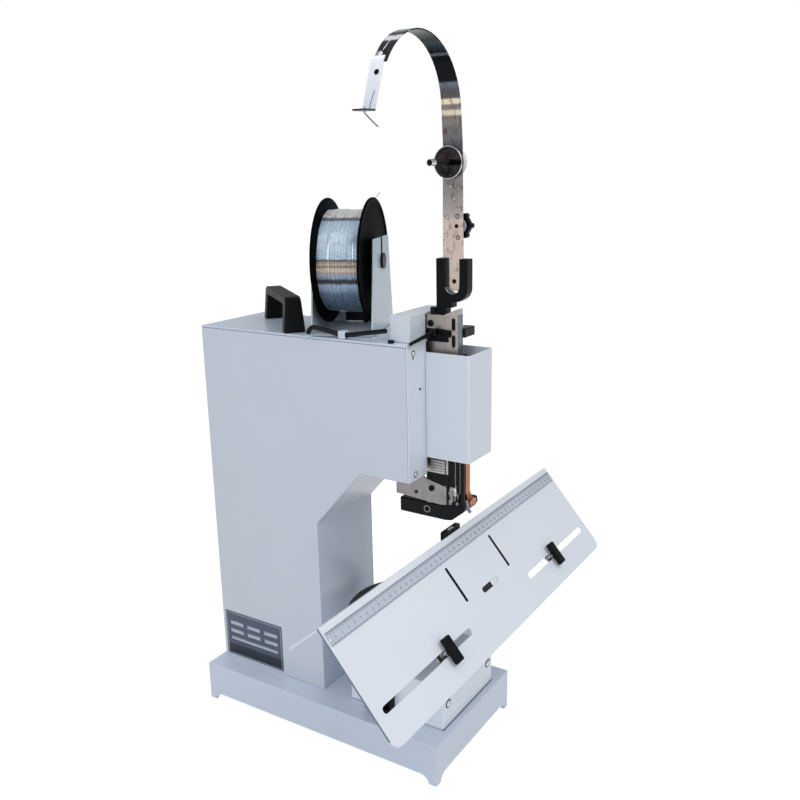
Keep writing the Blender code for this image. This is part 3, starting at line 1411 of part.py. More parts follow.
def build_works():
    # Inner frame: side plate, foot, motor shelf, two bearing blocks and the head mount
    low = base_height + seat_gap
    outline = [(frame_front_y, frame_arm_low_z), (frame_column_front_y, frame_arm_low_z),
               (frame_column_front_y, low), (frame_back_y, low), (frame_back_y, frame_arm_high_z),
               (frame_front_y, frame_arm_high_z)]
    width = frame_right_x - frame_left_x
    plate = flat(outline, width, across_x((frame_left_x + frame_right_x) / 2))
    overlap = cut_overrun
    blocks = [box((frame_right_x - overlap, frame_column_front_y, low),
                  (frame_foot_right_x, frame_back_y, low + frame_foot_thickness)),
              box((frame_right_x - overlap, frame_column_front_y, shelf_top_z - shelf_thickness),
                  (frame_foot_right_x, frame_back_y - shelf_thickness, shelf_top_z)),
              box((frame_right_x - overlap, frame_front_y, head_mount_low_z),
                  (head_mount_right_x, frame_front_y + shelf_thickness, head_mount_high_z))]
    for bearing_y in (front_bearing_y, rear_bearing_y):
        blocks.append(box((frame_right_x - overlap, bearing_y, shaft_z - bearing_half_z),
                          (shaft_x + bearing_half_x, bearing_y + bearing_length, shaft_z + bearing_half_z)))
    frame = joined(plate, *blocks)
    bore = rod((shaft_x, front_bearing_y - overlap, shaft_z),
               (shaft_x, rear_bearing_y + bearing_length + overlap, shaft_z),
               shaft_radius + shaft_bore_gap, round_steps)
    finished(cut(frame, bore), "works_frame", "cast_iron")

    # Main shaft with its crank disc and pin
    pivot = Vector((shaft_x, shaft_front_y, shaft_z))
    bar = rod((shaft_x, shaft_front_y - overlap, shaft_z), (shaft_x, shaft_back_y, shaft_z), shaft_radius, round_steps)
    disc = rod((shaft_x, shaft_front_y - crank_disc_thickness, shaft_z), (shaft_x, shaft_front_y, shaft_z),
               crank_disc_radius, round_steps)
    pin_z = shaft_z + crank_throw
    pin = rod((shaft_x, yoke_back_y + running_gap, pin_z), (shaft_x, shaft_front_y - overlap, pin_z), crank_pin_radius)
    finished(joined(bar, disc, pin), "main_crankshaft", "bright_steel", pivot)

    def pulley(name, x, z, radius, bore_radius, material):
        edge = radius + pulley_flange
        flange = (pulley_width - belt_width) / 2 - running_gap
        half = pulley_width / 2
        profile = [(edge, half), (edge, half - flange), (radius, half - flange), (radius, -half + flange),
                   (edge, -half + flange), (edge, -half), (bore_radius, -half), (bore_radius, half)]
        place = Matrix.Translation((x, pulley_y + half, z)) @ Matrix.Rotation(-math.pi / 2, 4, "X")
        item = ring(profile, place, fine_steps)
        finished(item, name, material, (x, pulley_y + half, z))

    pulley("driven_pulley", shaft_x, shaft_z, driven_pulley_radius, shaft_radius + seat_gap, "cast_iron")
    pulley("motor_pulley", shaft_x, motor_z, motor_pulley_radius, motor_shaft_radius + seat_gap, "bright_steel")

    # Motor: ribbed body on a foot, with its shaft as a separate piece
    body = rod((shaft_x, motor_front_y, motor_z), (shaft_x, motor_back_y, motor_z), motor_radius, fine_steps)
    fins = []
    for index in range(motor_fin_count):
        angle = 2 * math.pi * index / motor_fin_count
        out = Vector((math.cos(angle), 0.0, math.sin(angle)))
        place = Matrix.Translation(Vector((shaft_x, (motor_front_y + motor_back_y) / 2, motor_z)) + out * motor_radius)
        place = place @ Matrix.Rotation(-angle, 4, "Y")
        length = (motor_back_y - motor_front_y) * (1.0 - motor_foot_share)
        groove = box((-motor_fin_depth, -length / 2, -motor_fin_depth), (motor_fin_depth, length / 2, motor_fin_depth))
        fins.append(moved(groove, place))
    body = cut(body, *fins)
    inset = (motor_back_y - motor_front_y) * motor_foot_share
    foot = box((shaft_x - motor_foot_half_x, motor_front_y + inset, shelf_top_z + seat_gap),
               (shaft_x + motor_foot_half_x, motor_back_y - inset, motor_z - motor_foot_top_margin))
    body = joined(body, foot)
    bore = rod((shaft_x, motor_back_y - motor_bore_depth, motor_z), (shaft_x, motor_back_y + overlap, motor_z),
               motor_shaft_radius + running_gap)
    finished(cut(body, bore), "motor_body", "cast_iron")
    shaft = rod((shaft_x, motor_back_y - motor_bore_depth + running_gap, motor_z),
                (shaft_x, shaft_back_y, motor_z), motor_shaft_radius)
    finished(shaft, "motor_shaft", "bright_steel", (shaft_x, shaft_back_y, motor_z))

    # Belt: a closed loop on the tangents of the two pulleys
    big = driven_pulley_radius + belt_gap
    small = motor_pulley_radius + belt_gap
    distance = shaft_z - motor_z
    tilt = math.asin((big - small) / distance)

    def loop(extra):
        points = []
        for step in range(13):
            angle = -tilt + (math.pi + 2 * tilt) * step / 12
            points.append((shaft_x + (big + extra) * math.cos(angle), shaft_z + (big + extra) * math.sin(angle)))
        for step in range(9):
            angle = math.pi + tilt + (math.pi - 2 * tilt) * step / 8
            points.append((shaft_x + (small + extra) * math.cos(angle), motor_z + (small + extra) * math.sin(angle)))
        return points

    belt = flat(loop(belt_thickness), belt_width, across_y(pulley_y + pulley_width / 2), [loop(0.0)])
    finished(belt, "drive_belt", "rubber")


def build_machine():
    build_base()
    build_casing()
    build_guard()
    build_pedestal()
    build_handwheel()
    build_inlet()
    build_table()
    build_bracket()
    build_clincher()
    build_stop("left_paper_stop", stop_left_x)
    build_stop("right_paper_stop", stop_right_x)
    build_head()
    build_driver()
    build_feed_parts()
    eyelet_centre = build_eyelet(build_neck())
    build_tension()
    build_star_knob()
    build_spool()
    build_stand()
    build_wire_ends(eyelet_centre)
    build_handle()
    build_tools()
    build_works()
    # Move the machine so that the middle of its outline stands on the origin.
    reach = [vertex.co.y + item.location.y for item in machine_parts.objects if item.data
             for vertex in item.data.vertices]
    datum.location = (0.0, -(min(reach) + max(reach)) / 2, 0.0)
    bpy.context.view_layer.update()


build_machine()
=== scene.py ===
"""Looks of the booklet wire stitcher: materials, fine detail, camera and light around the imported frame.

Places are in the machine's own measure: millimetres, X to the operator's right,
Y back from the front edge of the base, Z up from the floor.
"""
import json
import math
import random

import bmesh
import bpy
from mathutils import Matrix, Vector


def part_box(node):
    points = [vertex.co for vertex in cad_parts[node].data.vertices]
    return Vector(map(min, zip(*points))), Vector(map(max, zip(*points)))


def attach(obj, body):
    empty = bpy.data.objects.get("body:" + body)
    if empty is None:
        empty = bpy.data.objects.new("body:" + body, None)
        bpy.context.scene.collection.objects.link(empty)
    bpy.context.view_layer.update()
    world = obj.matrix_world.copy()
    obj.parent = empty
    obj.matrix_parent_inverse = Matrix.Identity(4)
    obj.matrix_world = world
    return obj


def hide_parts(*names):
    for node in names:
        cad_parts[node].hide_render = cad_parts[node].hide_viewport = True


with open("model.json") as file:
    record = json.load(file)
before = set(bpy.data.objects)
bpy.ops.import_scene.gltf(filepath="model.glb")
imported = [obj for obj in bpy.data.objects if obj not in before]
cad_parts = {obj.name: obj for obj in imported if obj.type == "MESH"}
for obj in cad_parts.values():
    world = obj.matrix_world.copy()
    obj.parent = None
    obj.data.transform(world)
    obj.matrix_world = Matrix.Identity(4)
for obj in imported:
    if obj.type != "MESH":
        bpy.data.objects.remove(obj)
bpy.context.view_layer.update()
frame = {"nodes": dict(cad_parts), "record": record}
random.seed(7)

MM = 0.001
LEFT, RIGHT, FRONT, BACK, UP = (-1, 0, 0), (1, 0, 0), (0, -1, 0), (0, 1, 0), (0, 0, 1)
base_front_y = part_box("base_skirt")[0].y
pieces = bpy.data.collections.new("dressing")
bpy.context.scene.collection.children.link(pieces)

# Casing
LID_TOP = 486.8
PANEL_FRONT_Y, PANEL_BACK_Y = 46.0, 334.0
SIDE_LEFT_X, SIDE_RIGHT_X = -62.5, 49.5
PEDESTAL_FRONT_Y, PEDESTAL_SCREW_Z = 8.0, 79.0

# Saddle table: the ridge, the front slope and what lies down it
RIDGE_Y, RIDGE_Z = 26.0, 265.0
FRONT_SLOPE = math.radians(49.8)
RULER_DOWN, RULER_WIDTH, RULER_TOP, RULER_HALF = 13.5, 13.0, 1.1, 250
SLOT_DOWN = 93.0
STOP_LEFT_X, STOP_RIGHT_X = -123.5, 139.5

# Handwheel and lift screw
LIFT_X, LIFT_Y, WHEEL_Z = 6.0, 90.0, 147.0
WHEEL_RADIUS, RIM_RADIUS = 76.9, 8.5

# Reel, its winding and its stand
REEL_PLACE = Vector((-3.5, 154.0, 564.0))
REEL_TURN = math.radians(20.0)
FLANGE_RADIUS, FLANGE_THICK, REEL_WIDTH = 68.6, 3.0, 54.0
WINDING_RADIUS, WIRE_RADIUS, WIRE_TURNS = 55.3, 0.45, 50

# Neck: the fork's slot, the spring strip's left face, the felt brake and the arc of the strip's end
FORK_X, FORK_SLOT_Y, FORK_SLOT_Z = -7.75, 20.6, 543.4
STRIP_X = -8.1
BRAKE_Y, BRAKE_Z = 24.7, 667
ARC_X, ARC_Y, ARC_Z = -78.30, 22.3, 715.0

# Stitching head: the side frame's left face
HEAD_X = -16.0


def point(x, y, z):
    """A machine place in millimetres as a world place in metres."""
    return Vector((x * MM, y * MM + base_front_y, z * MM))


def linear(colour):
    """A colour as a photograph gives it, 0 to 255, in linear light."""
    shares = [part / 255 for part in colour]
    return (*(share / 12.92 if share <= 0.04045 else ((share + 0.055) / 1.055) ** 2.4 for share in shares), 1.0)


# Materials

def feed(tree, node, inputs):
    """Set a node's inputs, by a link where the value is another node's socket."""
    for name, value in inputs.items():
        if isinstance(value, bpy.types.NodeSocket):
            tree.links.new(value, node.inputs[name])
        else:
            node.inputs[name].default_value = value


def add_node(tree, kind, inputs=None, **settings):
    """Add a shader node and return its outputs."""
    node = tree.nodes.new("ShaderNode" + kind)
    for name, value in settings.items():
        setattr(node, name, value)
    feed(tree, node, inputs or {})
    return node.outputs


def mixed(tree, first, second, share, blend="MIX"):
    inputs = {"Fac": share, "Color1": first, "Color2": second}
    return add_node(tree, "MixRGB", inputs, blend_type=blend)["Color"]


def ramp(tree, share, stops):
    """Colours between (place, colour) stops, picked by a share."""
    node = tree.nodes.new("ShaderNodeValToRGB")
    elements = node.color_ramp.elements
    elements[0].position, elements[0].color = stops[0]
    elements[1].position, elements[1].color = stops[-1]
    for place, colour in stops[1:-1]:
        elements.new(place).color = colour
    tree.links.new(share, node.inputs["Fac"])
    return node.outputs["Color"]


def height_ramp(tree, height, wander, rows, reach=0.8):
    """Colours by height, from (millimetres, red, green, blue) rows, with a wavering edge between them."""
    low, high = rows[0][0], rows[-1][0]
    shifted = add_node(tree, "Math", {0: wander, 1: reach * MM, 2: height}, operation="MULTIPLY_ADD")[0]
    share = add_node(tree, "MapRange", {"Value": shifted, "From Min": low * MM, "From Max": high * MM})["Result"]
    return ramp(tree, share, [((z - low) / (high - low), linear(colour)) for z, *colour in rows])


def surface(name, colour, roughness, tint, grain, metallic=0.0, rough_spread=0.06, stretch=(1.0, 1.0, 1.0),
            coat=0.0, specular=0.5, second=None, second_share=0.5, bands=None, left_bands=None,
            still_bands=False, reach=0.8):
    """A procedural finish: a slow change of tint, a fine grain in the height, and a change of gloss.

    Tint and grain are each an amount and a size in millimetres. The second colour lies in patches. The bands
    are painted light and shade: they colour it by height, riding the piece unless they are still, and
    left_bands gives other rows for what is left of a place along X.
    """
    tint_share, tint_size = tint
    grain_strength, grain_size = grain
    material = bpy.data.materials.new(name)
    material.use_nodes = True
    tree = material.node_tree
    place = add_node(tree, "TexCoord")["Object"]
    spot = add_node(tree, "Mapping", {"Vector": place, "Scale": stretch})["Vector"]

    def noise(size, detail):
        return add_node(tree, "TexNoise", {"Vector": spot, "Scale": 1.0 / (size * MM), "Detail": detail})["Fac"]

    def shade(change):
        return (*(min(1.0, part * (1.0 + change)) for part in linear(colour)[:3]), 1.0)

    slow = noise(tint_size, 4.0)
    tone = ramp(tree, slow, [(0.3, shade(-tint_share)), (0.7, shade(tint_share))])
    if second:
        edge = {"Value": noise(tint_size * 0.4, 6.0), "From Min": 1.0 - second_share, "From Max": 1.15 - second_share}
        tone = mixed(tree, tone, linear(second), add_node(tree, "MapRange", edge)["Result"])
    if bands:
        source = add_node(tree, "NewGeometry")["Position"] if still_bands else place
        where = add_node(tree, "SeparateXYZ", {0: source})
        banded = height_ramp(tree, where["Z"], slow, bands, reach)
        if left_bands:
            border, rows = left_bands
            side = add_node(tree, "Math", {0: where["X"], 1: border * MM}, operation="LESS_THAN")[0]
            banded = mixed(tree, banded, height_ramp(tree, where["Z"], slow, rows), side)
        tone = mixed(tree, tone, banded, 1.0, "MULTIPLY")
    gloss = {"Value": slow, "To Min": max(0.02, roughness - rough_spread), "To Max": roughness + rough_spread}
    bump = {"Height": noise(grain_size, 3.0), "Strength": grain_strength, "Distance": 0.2 * MM}
    feed(tree, tree.nodes["Principled BSDF"], {
        "Base Color": tone, "Metallic": metallic, "Specular IOR Level": specular, "Coat Weight": coat,
        "Coat Roughness": 0.12, "Roughness": add_node(tree, "MapRange", gloss)["Result"],
        "Normal": add_node(tree, "Bump", bump)["Normal"]})
    return material


def powder_coat(name, colour, roughness=0.34, tint=0.015, tint_size=90.0, grain=0.10, coat=0.25, **bands):
    """Sheet paint, finely grained under a clear coat."""
    return surface("powder_coat_" + name, colour, roughness, (tint, tint_size), (grain, 1.4), coat=coat, **bands)


fine = {"tint": 0.012, "grain": 0.08}
# Copies of the casing's blue-grey coat, one per part. The lid's copy is set lighter for its top face, and the front
# panel's lighter against the shade it lies in: painted light. The base's copy is set darker for its sides: painted
# shade.
paint = powder_coat("blue_grey", (204, 211, 221))
lid_paint_painted_light = powder_coat("lid", (202, 213, 225))
column_paint = powder_coat("column", (205, 214, 227), coat=0.2)
base_paint_painted_shade = powder_coat("base", (205, 215, 230), 0.36, coat=0.2)
panel_paint_painted_light = powder_coat("front_panel", (215, 223, 231), coat=0.2, **fine)
pedestal_paint = powder_coat("pedestal", (234, 241, 248), coat=0.2, **fine)
guard_paint = powder_coat("guard", (212, 220, 228), 0.32, **fine)
rear_paint = powder_coat("table_rear", (223, 229, 236), 0.32, **fine)
# The table's white coat. Its rows by height are plain white and change nothing; left of X -252.2, on the plate's left
# edge, it is painted darker: painted shade on that edge.
table_paint = powder_coat(
    "white", (226, 232, 239), 0.32, **fine, bands=((100, 255, 255, 255), (300, 255, 255, 255)),
    left_bands=(-252.2, ((100, 120, 130, 146), (300, 120, 130, 146))))
stand_paint = powder_coat("stand", (180, 194, 203), tint_size=60.0, grain=0.08, coat=0.2)

ground_steel = surface("ground_steel", (186, 178, 170), 0.36, metallic=1.0, tint=(0.14, 14.0),
                       grain=(0.25, 0.8), rough_spread=0.10, stretch=(1.0, 1.0, 9.0))
dull_steel = surface("dull_steel", (150, 146, 147), 0.42, metallic=1.0, tint=(0.18, 12.0), grain=(0.3, 0.7),
                     rough_spread=0.12)
feed_steel = surface("feed_block_steel", (186, 184, 184), 0.38, metallic=0.6, tint=(0.06, 12.0),
                     grain=(0.2, 0.7), rough_spread=0.08)
bright_screw = surface("plated_screw", (208, 210, 212), 0.20, metallic=1.0, tint=(0.06, 4.0), grain=(0.1, 0.5))
chrome = surface("chrome", (222, 223, 226), 0.10, metallic=1.0, tint=(0.03, 10.0), grain=(0.03, 0.8),
                 rough_spread=0.04)
guide_blue = surface("guide_front_steel", (112, 121, 132), 0.30, metallic=0.7, tint=(0.10, 16.0),
                     grain=(0.12, 0.7), rough_spread=0.08, stretch=(1.0, 1.0, 0.3))
ruler_steel = surface("ruler_steel", (196, 204, 215), 0.40, metallic=0.15, tint=(0.06, 20.0), grain=(0.1, 0.8),
                      stretch=(0.2, 1.0, 1.0))
# The brake's polished plate: its dark base colour and reddish patches are painted reflection of dark surroundings.
plate_painted_reflection = surface("polished_plate_painted_reflection", (66, 62, 64), 0.10, metallic=1.0, tint=(0.55, 11.0),
                      grain=(0.05, 1.5), rough_spread=0.05, second=(104, 72, 74), second_share=0.46)
key_steel = surface("blued_key_steel", (8, 9, 14), 0.36, tint=(0.2, 9.0), grain=(0.15, 0.6), rough_spread=0.08,
                    specular=0.2)
black_steel = surface("black_oxide_steel", (12, 13, 16), 0.34, metallic=0.3, tint=(0.25, 9.0),
                      grain=(0.25, 0.6), rough_spread=0.10, specular=0.2, second=(34, 34, 38),
                      second_share=0.34)
fork_black = surface("fork_black", (9, 10, 12), 0.38, metallic=0.1, tint=(0.3, 12.0), grain=(0.25, 0.6),
                     rough_spread=0.10, specular=0.14, second=(22, 23, 28), second_share=0.34)
copper = surface("copper_strip", (176, 112, 76), 0.35, metallic=1.0, tint=(0.20, 8.0), grain=(0.15, 0.7),
                 rough_spread=0.10, stretch=(1.0, 1.0, 0.4))
cast_iron = surface("cast_iron", (96, 100, 104), 0.60, metallic=0.6, tint=(0.15, 16.0), grain=(0.6, 1.6),
                    rough_spread=0.10)
wheel_iron = surface("wheel_black", (30, 31, 34), 0.40, metallic=0.2, tint=(0.15, 18.0), grain=(0.3, 1.2))
black_plastic = surface("moulded_black_plastic", (9, 10, 12), 0.44, tint=(0.12, 12.0), grain=(0.35, 0.7),
                        rough_spread=0.08, specular=0.14)
reel_plastic = surface("spool_black_plastic", (6, 7, 9), 0.40, tint=(0.25, 16.0), grain=(0.1, 1.2),
                       rough_spread=0.08, specular=0.01)
milky_plastic = surface("milky_plastic", (226, 226, 226), 0.40, tint=(0.03, 6.0), grain=(0.1, 0.8))
rubber = surface("rubber", (30, 30, 31), 0.80, tint=(0.15, 10.0), grain=(0.4, 0.6))
felt = surface("felt", (58, 52, 54), 0.95, tint=(0.25, 2.5), grain=(1.0, 0.35), rough_spread=0.03,
               second=(86, 70, 66), second_share=0.4)
ink = surface("ruler_ink", (52, 58, 72), 0.55, tint=(0.05, 5.0), grain=(0.05, 0.5))
plate_dark = surface("blank_plate_dark", (74, 82, 102), 0.36, metallic=0.4, tint=(0.10, 18.0),
                     grain=(0.12, 0.9))
plate_black = surface("blank_plate_black", (30, 36, 48), 0.40, metallic=0.2, tint=(0.10, 18.0),
                      grain=(0.12, 0.9))
plate_light = surface("blank_plate_rule", (172, 180, 190), 0.36, metallic=0.5, tint=(0.05, 9.0),
                      grain=(0.05, 0.6))
plain_wire = surface("cut_wire_end", (150, 152, 156), 0.28, metallic=0.8, tint=(0.10, 9.0), grain=(0.15, 0.5))
wire_bed = surface("wire_bed", (120, 126, 138), 0.34, metallic=1.0, tint=(0.3, 4.0), grain=(0.8, 0.9),
                   rough_spread=0.10)
# Painted reflections and shade by height, standing in for what bright steel shows of the room: the wound wire,
# the spring strip and the eyelet's bracket; the strip's white bands are painted highlights
wire_steel_painted_reflections = surface(
    "drawn_wire", (250, 252, 255), 0.26, metallic=0.85, tint=(0.06, 6.0), grain=(0.1, 0.5),
    still_bands=True, reach=3.0, bands=(
        (500, 168, 186, 208), (535, 168, 186, 208), (544.5, 180, 196, 216), (546.5, 84, 88, 96),
        (549.5, 66, 70, 76), (552, 164, 178, 196), (556, 176, 190, 210), (557.5, 196, 178, 162),
        (560, 236, 220, 204), (563, 222, 208, 192), (564.5, 150, 138, 128), (566, 232, 214, 196),
        (569, 206, 192, 176), (571, 92, 96, 94), (572.5, 206, 222, 234), (590, 206, 219, 231),
        (610, 214, 230, 241), (611.6, 124, 132, 144), (613, 138, 140, 144), (614.5, 255, 252, 248),
        (624, 255, 255, 255)))
spring_steel_painted_reflections = surface(
    "spring_strip", (250, 250, 250), 0.26, metallic=0.55, tint=(0.08, 16.0), grain=(0.06, 0.6), specular=0.15,
    rough_spread=0.07, stretch=(1.0, 1.4, 0.7), second=(186, 172, 166), second_share=0.45, bands=(
        (535, 216, 200, 188), (570, 226, 208, 196), (611, 228, 209, 196), (614, 200, 188, 180),
        (640, 164, 158, 154), (660, 158, 154, 152), (684, 102, 106, 110), (692, 140, 134, 132),
        (700, 128, 126, 124), (706, 154, 146, 138), (711.5, 142, 134, 128), (713, 255, 240, 214),
        (716.5, 252, 236, 212), (718, 158, 144, 138), (722, 150, 138, 132), (723.5, 255, 241, 216),
        (727, 255, 241, 216), (728.5, 100, 98, 98), (735, 88, 90, 96), (742, 112, 120, 132),
        (743.5, 16, 20, 24), (765, 12, 16, 20), (766.5, 150, 162, 168), (768, 34, 42, 46),
        (771, 66, 76, 82), (775, 80, 92, 98), (777, 20, 24, 28), (785, 14, 17, 20)),
    # Left of X -80, at the strip's arched end: dark bands with white lines, painted reflection and highlights.
    left_bands=(-80.0, (
        (735, 30, 36, 38), (770, 34, 40, 42), (771.5, 250, 250, 252), (775, 240, 242, 246),
        (776, 30, 34, 38), (779, 36, 40, 44), (780, 200, 204, 208), (781, 28, 32, 36), (785, 20, 24, 28))))
bracket_steel_painted_reflections = surface(
    "eyelet_bracket_steel", (248, 250, 254), 0.30, metallic=0.1, tint=(0.04, 9.0), grain=(0.08, 0.5),
    coat=0.3, bands=(
        (700, 26, 34, 36), (711.6, 30, 38, 40), (712.2, 226, 230, 238), (730, 236, 240, 246),
        (756, 252, 253, 255), (757.5, 206, 208, 214), (790, 206, 208, 214)))

finished_nodes = (
    (paint, "left_side_panel right_side_panel back_panel"),
    (lid_paint_painted_light, "top_lid key_holder"), (base_paint_painted_shade, "base_skirt"), (pedestal_paint, "pedestal_cover"),
    (column_paint, "arm_underside_and_column_sheet"), (guard_paint, "crank_cover_box head_guard"),
    (panel_paint_painted_light, "head_front_panel head_front_panel_right"), (stand_paint, "spool_stand"),
    (table_paint, "table_front_plate"), (rear_paint, "table_rear_plate table_bracket"),
    (ruler_steel, "edge_ruler"), (wheel_iron, "lift_handwheel"), (rubber, "drive_belt"),
    (cast_iron, "lift_guide_bush works_frame driven_pulley motor_body"), (copper, "copper_wire_guide"),
    (ground_steel, "lift_screw head_side_frame slide_guide_bar main_crankshaft motor_shaft"),
    (black_steel, "clincher_block head_clamp_bar stitch_shoe driver_slide feed_adjuster_block"),
    (black_steel, "feed_release_lever"), (dull_steel, "head_bracket_plate"), (feed_steel, "wire_feed_block"),
    (black_plastic, "mains_inlet left_paper_stop right_paper_stop star_knob stand_cross_bar carry_handle"),
    (bright_screw, "clincher_plunger motor_pulley"), (reel_plastic, "power_rocker spool_reel"),
    (key_steel, "tension_bolt spool_axle hex_key_long hex_key_short"), (fork_black, "neck_fork"),
    (chrome, "tension_pressure_plate tension_nut"), (felt, "tension_felt"),
    (spring_steel_painted_reflections, "swan_neck_strip"), (bracket_steel_painted_reflections, "wire_eyelet_bracket"),
    (wire_bed, "winding_core"), (wire_steel_painted_reflections, "wire_turns"), (plain_wire, "wire_end_at_eyelet"),
)
node_finish = {node_name: finish for finish, names in finished_nodes for node_name in names.split()}
body_of = {node: body for body, nodes in frame["record"]["behaviour"]["bodies"].items() for node in nodes}
for node_name, node in frame["nodes"].items():
    node.data.materials.clear()
    node.data.materials.append(node_finish[node_name])


# Builders

def place_piece(piece, name, finish, body="machine", in_place_of=None):
    """Name and paint a piece, and give it its body and the node that it replaces."""
    piece.name = name
    piece.data.name = name
    piece.data.materials.clear()
    piece.data.materials.append(finish)
    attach(piece, body)
    if in_place_of:
        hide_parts(in_place_of)


def from_form(form):
    mesh = bpy.data.meshes.new("form")
    form.to_mesh(mesh)
    form.free()
    item = bpy.data.objects.new("form", mesh)
    pieces.objects.link(item)
    return item


def creased(item, angle):
    """Smooth faces, with the edges sharp where they turn by more than an angle."""
    item.data.shade_smooth()
    item.data.set_sharp_from_angle(angle=math.radians(angle))
    return item


def simplified(form):
    """Join points that coincide and faces that lie in one plane."""
    bmesh.ops.remove_doubles(form, verts=form.verts, dist=2e-6)
    bmesh.ops.dissolve_limit(form, angle_limit=math.radians(0.4), verts=form.verts, edges=form.edges)


def applied(item):
    """The object with its modifiers, or its curve, turned into a plain mesh."""
    bpy.context.view_layer.update()
    graph = bpy.context.evaluated_depsgraph_get()
    mesh = bpy.data.meshes.new_from_object(item.evaluated_get(graph), depsgraph=graph)
    mesh.transform(item.matrix_world)
    bpy.data.objects.remove(item, do_unlink=True)
    result = bpy.data.objects.new("form", mesh)
    pieces.objects.link(result)
    return result


def rounded_edges(item, width, segments=2):
    """A fine round on each sharp edge, so that it catches the light."""
    bevel = item.modifiers.new("edge", "BEVEL")
    bevel.width = width * MM
    bevel.segments = segments
    bevel.limit_method = "ANGLE"
    bevel.angle_limit = math.radians(30.0)
    item.data.shade_smooth()
    flatten = item.modifiers.new("flat_faces", "WEIGHTED_NORMAL")
    flatten.weight = 100
    flatten.keep_sharp = True
    return applied(item)


def refined(node_name, width, segments=2):
    """A node's own shape with its edges rounded, shown in its place."""
    form = bmesh.new()
    form.from_mesh(frame["nodes"][node_name].data)
    simplified(form)
    item = rounded_edges(from_form(form), width, segments)
    place_piece(item, node_name + ".fine", node_finish[node_name], body_of[node_name],
                node_name)


def refine_each(**widths):
    """Nodes by name, each with the width of the round on its edges."""
    for node_name, width in widths.items():
        refined(node_name, width)


def merged(items):
    """Several forms as one object."""
    form = bmesh.new()
    for item in items:
        form.from_mesh(item.data)
    result = from_form(form)
    for item in items:
        bpy.data.objects.remove(item, do_unlink=True)
    return creased(result, 35)


def block(low, high, width=0.4, segments=2):
    """A block between two machine corners, its edges rounded."""
    low, high = point(*low), point(*high)
    form = bmesh.new()
    size = Matrix.Diagonal((*(high - low), 1.0))
    bmesh.ops.create_cube(form, size=1.0, matrix=Matrix.Translation((low + high) / 2) @ size)
    return rounded_edges(from_form(form), width, segments)


def blocks(*rows):
    """Blocks as one object, from (x, x, y, y, z, z, width of the rounded edges) rows."""
    return merged([block((x0, y0, z0), (x1, y1, z1), width) for x0, x1, y0, y1, z0, z1, width in rows])


def pointing(start, way):
    """The place of a form whose height points some way from a world place."""
    return Matrix.Translation(start) @ Vector(way).to_track_quat("Z", "Y").to_matrix().to_4x4()


def facing(centre, axis):
    """The place of a form whose height points out of a face at a machine place."""
    return pointing(point(*centre), axis)


def skin(form, rings):
    """Faces from each closed ring of points to the next."""
    for first, second in zip(rings, rings[1:]):
        for k in range(len(first)):
            form.faces.new((first[k - 1], first[k], second[k], second[k - 1]))


def ring(form, steps, radius, height):
    """Points round the Z axis; a radius may be a function of the angle."""
    spots = []
    for step in range(steps):
        angle = 2 * math.pi * step / steps
        reach = radius(angle) if callable(radius) else radius
        spots.append(form.verts.new((reach * MM * math.cos(angle), reach * MM * math.sin(angle), height * MM)))
    return spots


def turned(profile, matrix, steps=48, crease=30.0):
    """A lathe form: (radius, height) pairs in millimetres round the matrix's Z axis."""
    form = bmesh.new()
    skin(form, [ring(form, steps, radius, height) for radius, height in profile])
    bmesh.ops.remove_doubles(form, verts=form.verts, dist=1e-7)
    bmesh.ops.dissolve_degenerate(form, edges=form.edges, dist=1e-8)
    bmesh.ops.recalc_face_normals(form, faces=form.faces)
    bmesh.ops.transform(form, matrix=matrix, verts=form.verts)
    return creased(from_form(form), crease)


def round_bar(start, end, radius, end_round=0.3, steps=32, end_radius=None):
    start, end = point(*start), point(*end)
    length = (end - start).length / MM
    last = end_radius or radius
    profile = [(0.0, 0.0), (radius - end_round, 0.0), (radius - end_round * 0.3, end_round * 0.3),
               (radius, end_round), (last, length - end_round), (last - end_round * 0.3, length - end_round * 0.3),
               (last - end_round, length), (0.0, length)]
    return turned(profile, pointing(start, end - start), steps)


def washer(centre, axis, outer, inner, height):
    edge = min(0.2, height * 0.25)
    profile = [(inner, 0.0), (outer - edge, 0.0), (outer, edge), (outer, height - edge), (outer - edge, height),
               (inner, height), (inner, 0.0)]
    return turned(profile, facing(centre, axis), 36)


def disc(centre, axis, radius, height, taper=0.1):
    """A low round spot on a face, a little smaller at its top."""
    return turned([(0.0, 0.0), (radius, 0.0), (radius - taper, height), (0.0, height)], facing(centre, axis), 24)


def cap_screw(centre, axis, radius, height, hex_share=0.5):
    """A cap head with a round edge and a hex socket; axis points out of the face."""
    edge = min(0.5, height * 0.3)
    sixth = math.pi / 3

    def hexagon(angle):
        return radius * hex_share * math.cos(sixth / 2) / math.cos(angle % sixth - sixth / 2)

    form = bmesh.new()
    rings = [ring(form, 32, reach, rise) for reach, rise in (
        (radius, 0.0), (radius, height - edge), (radius - edge * 0.3, height - edge * 0.3),
        (radius - edge, height), (hexagon, height), (hexagon, height * 0.35))]
    skin(form, rings)
    form.faces.new(rings[0])
    form.faces.new(rings[-1])
    bmesh.ops.transform(form, matrix=facing(centre, axis), verts=form.verts)
    bmesh.ops.recalc_face_normals(form, faces=form.faces)
    return creased(from_form(form), 40)


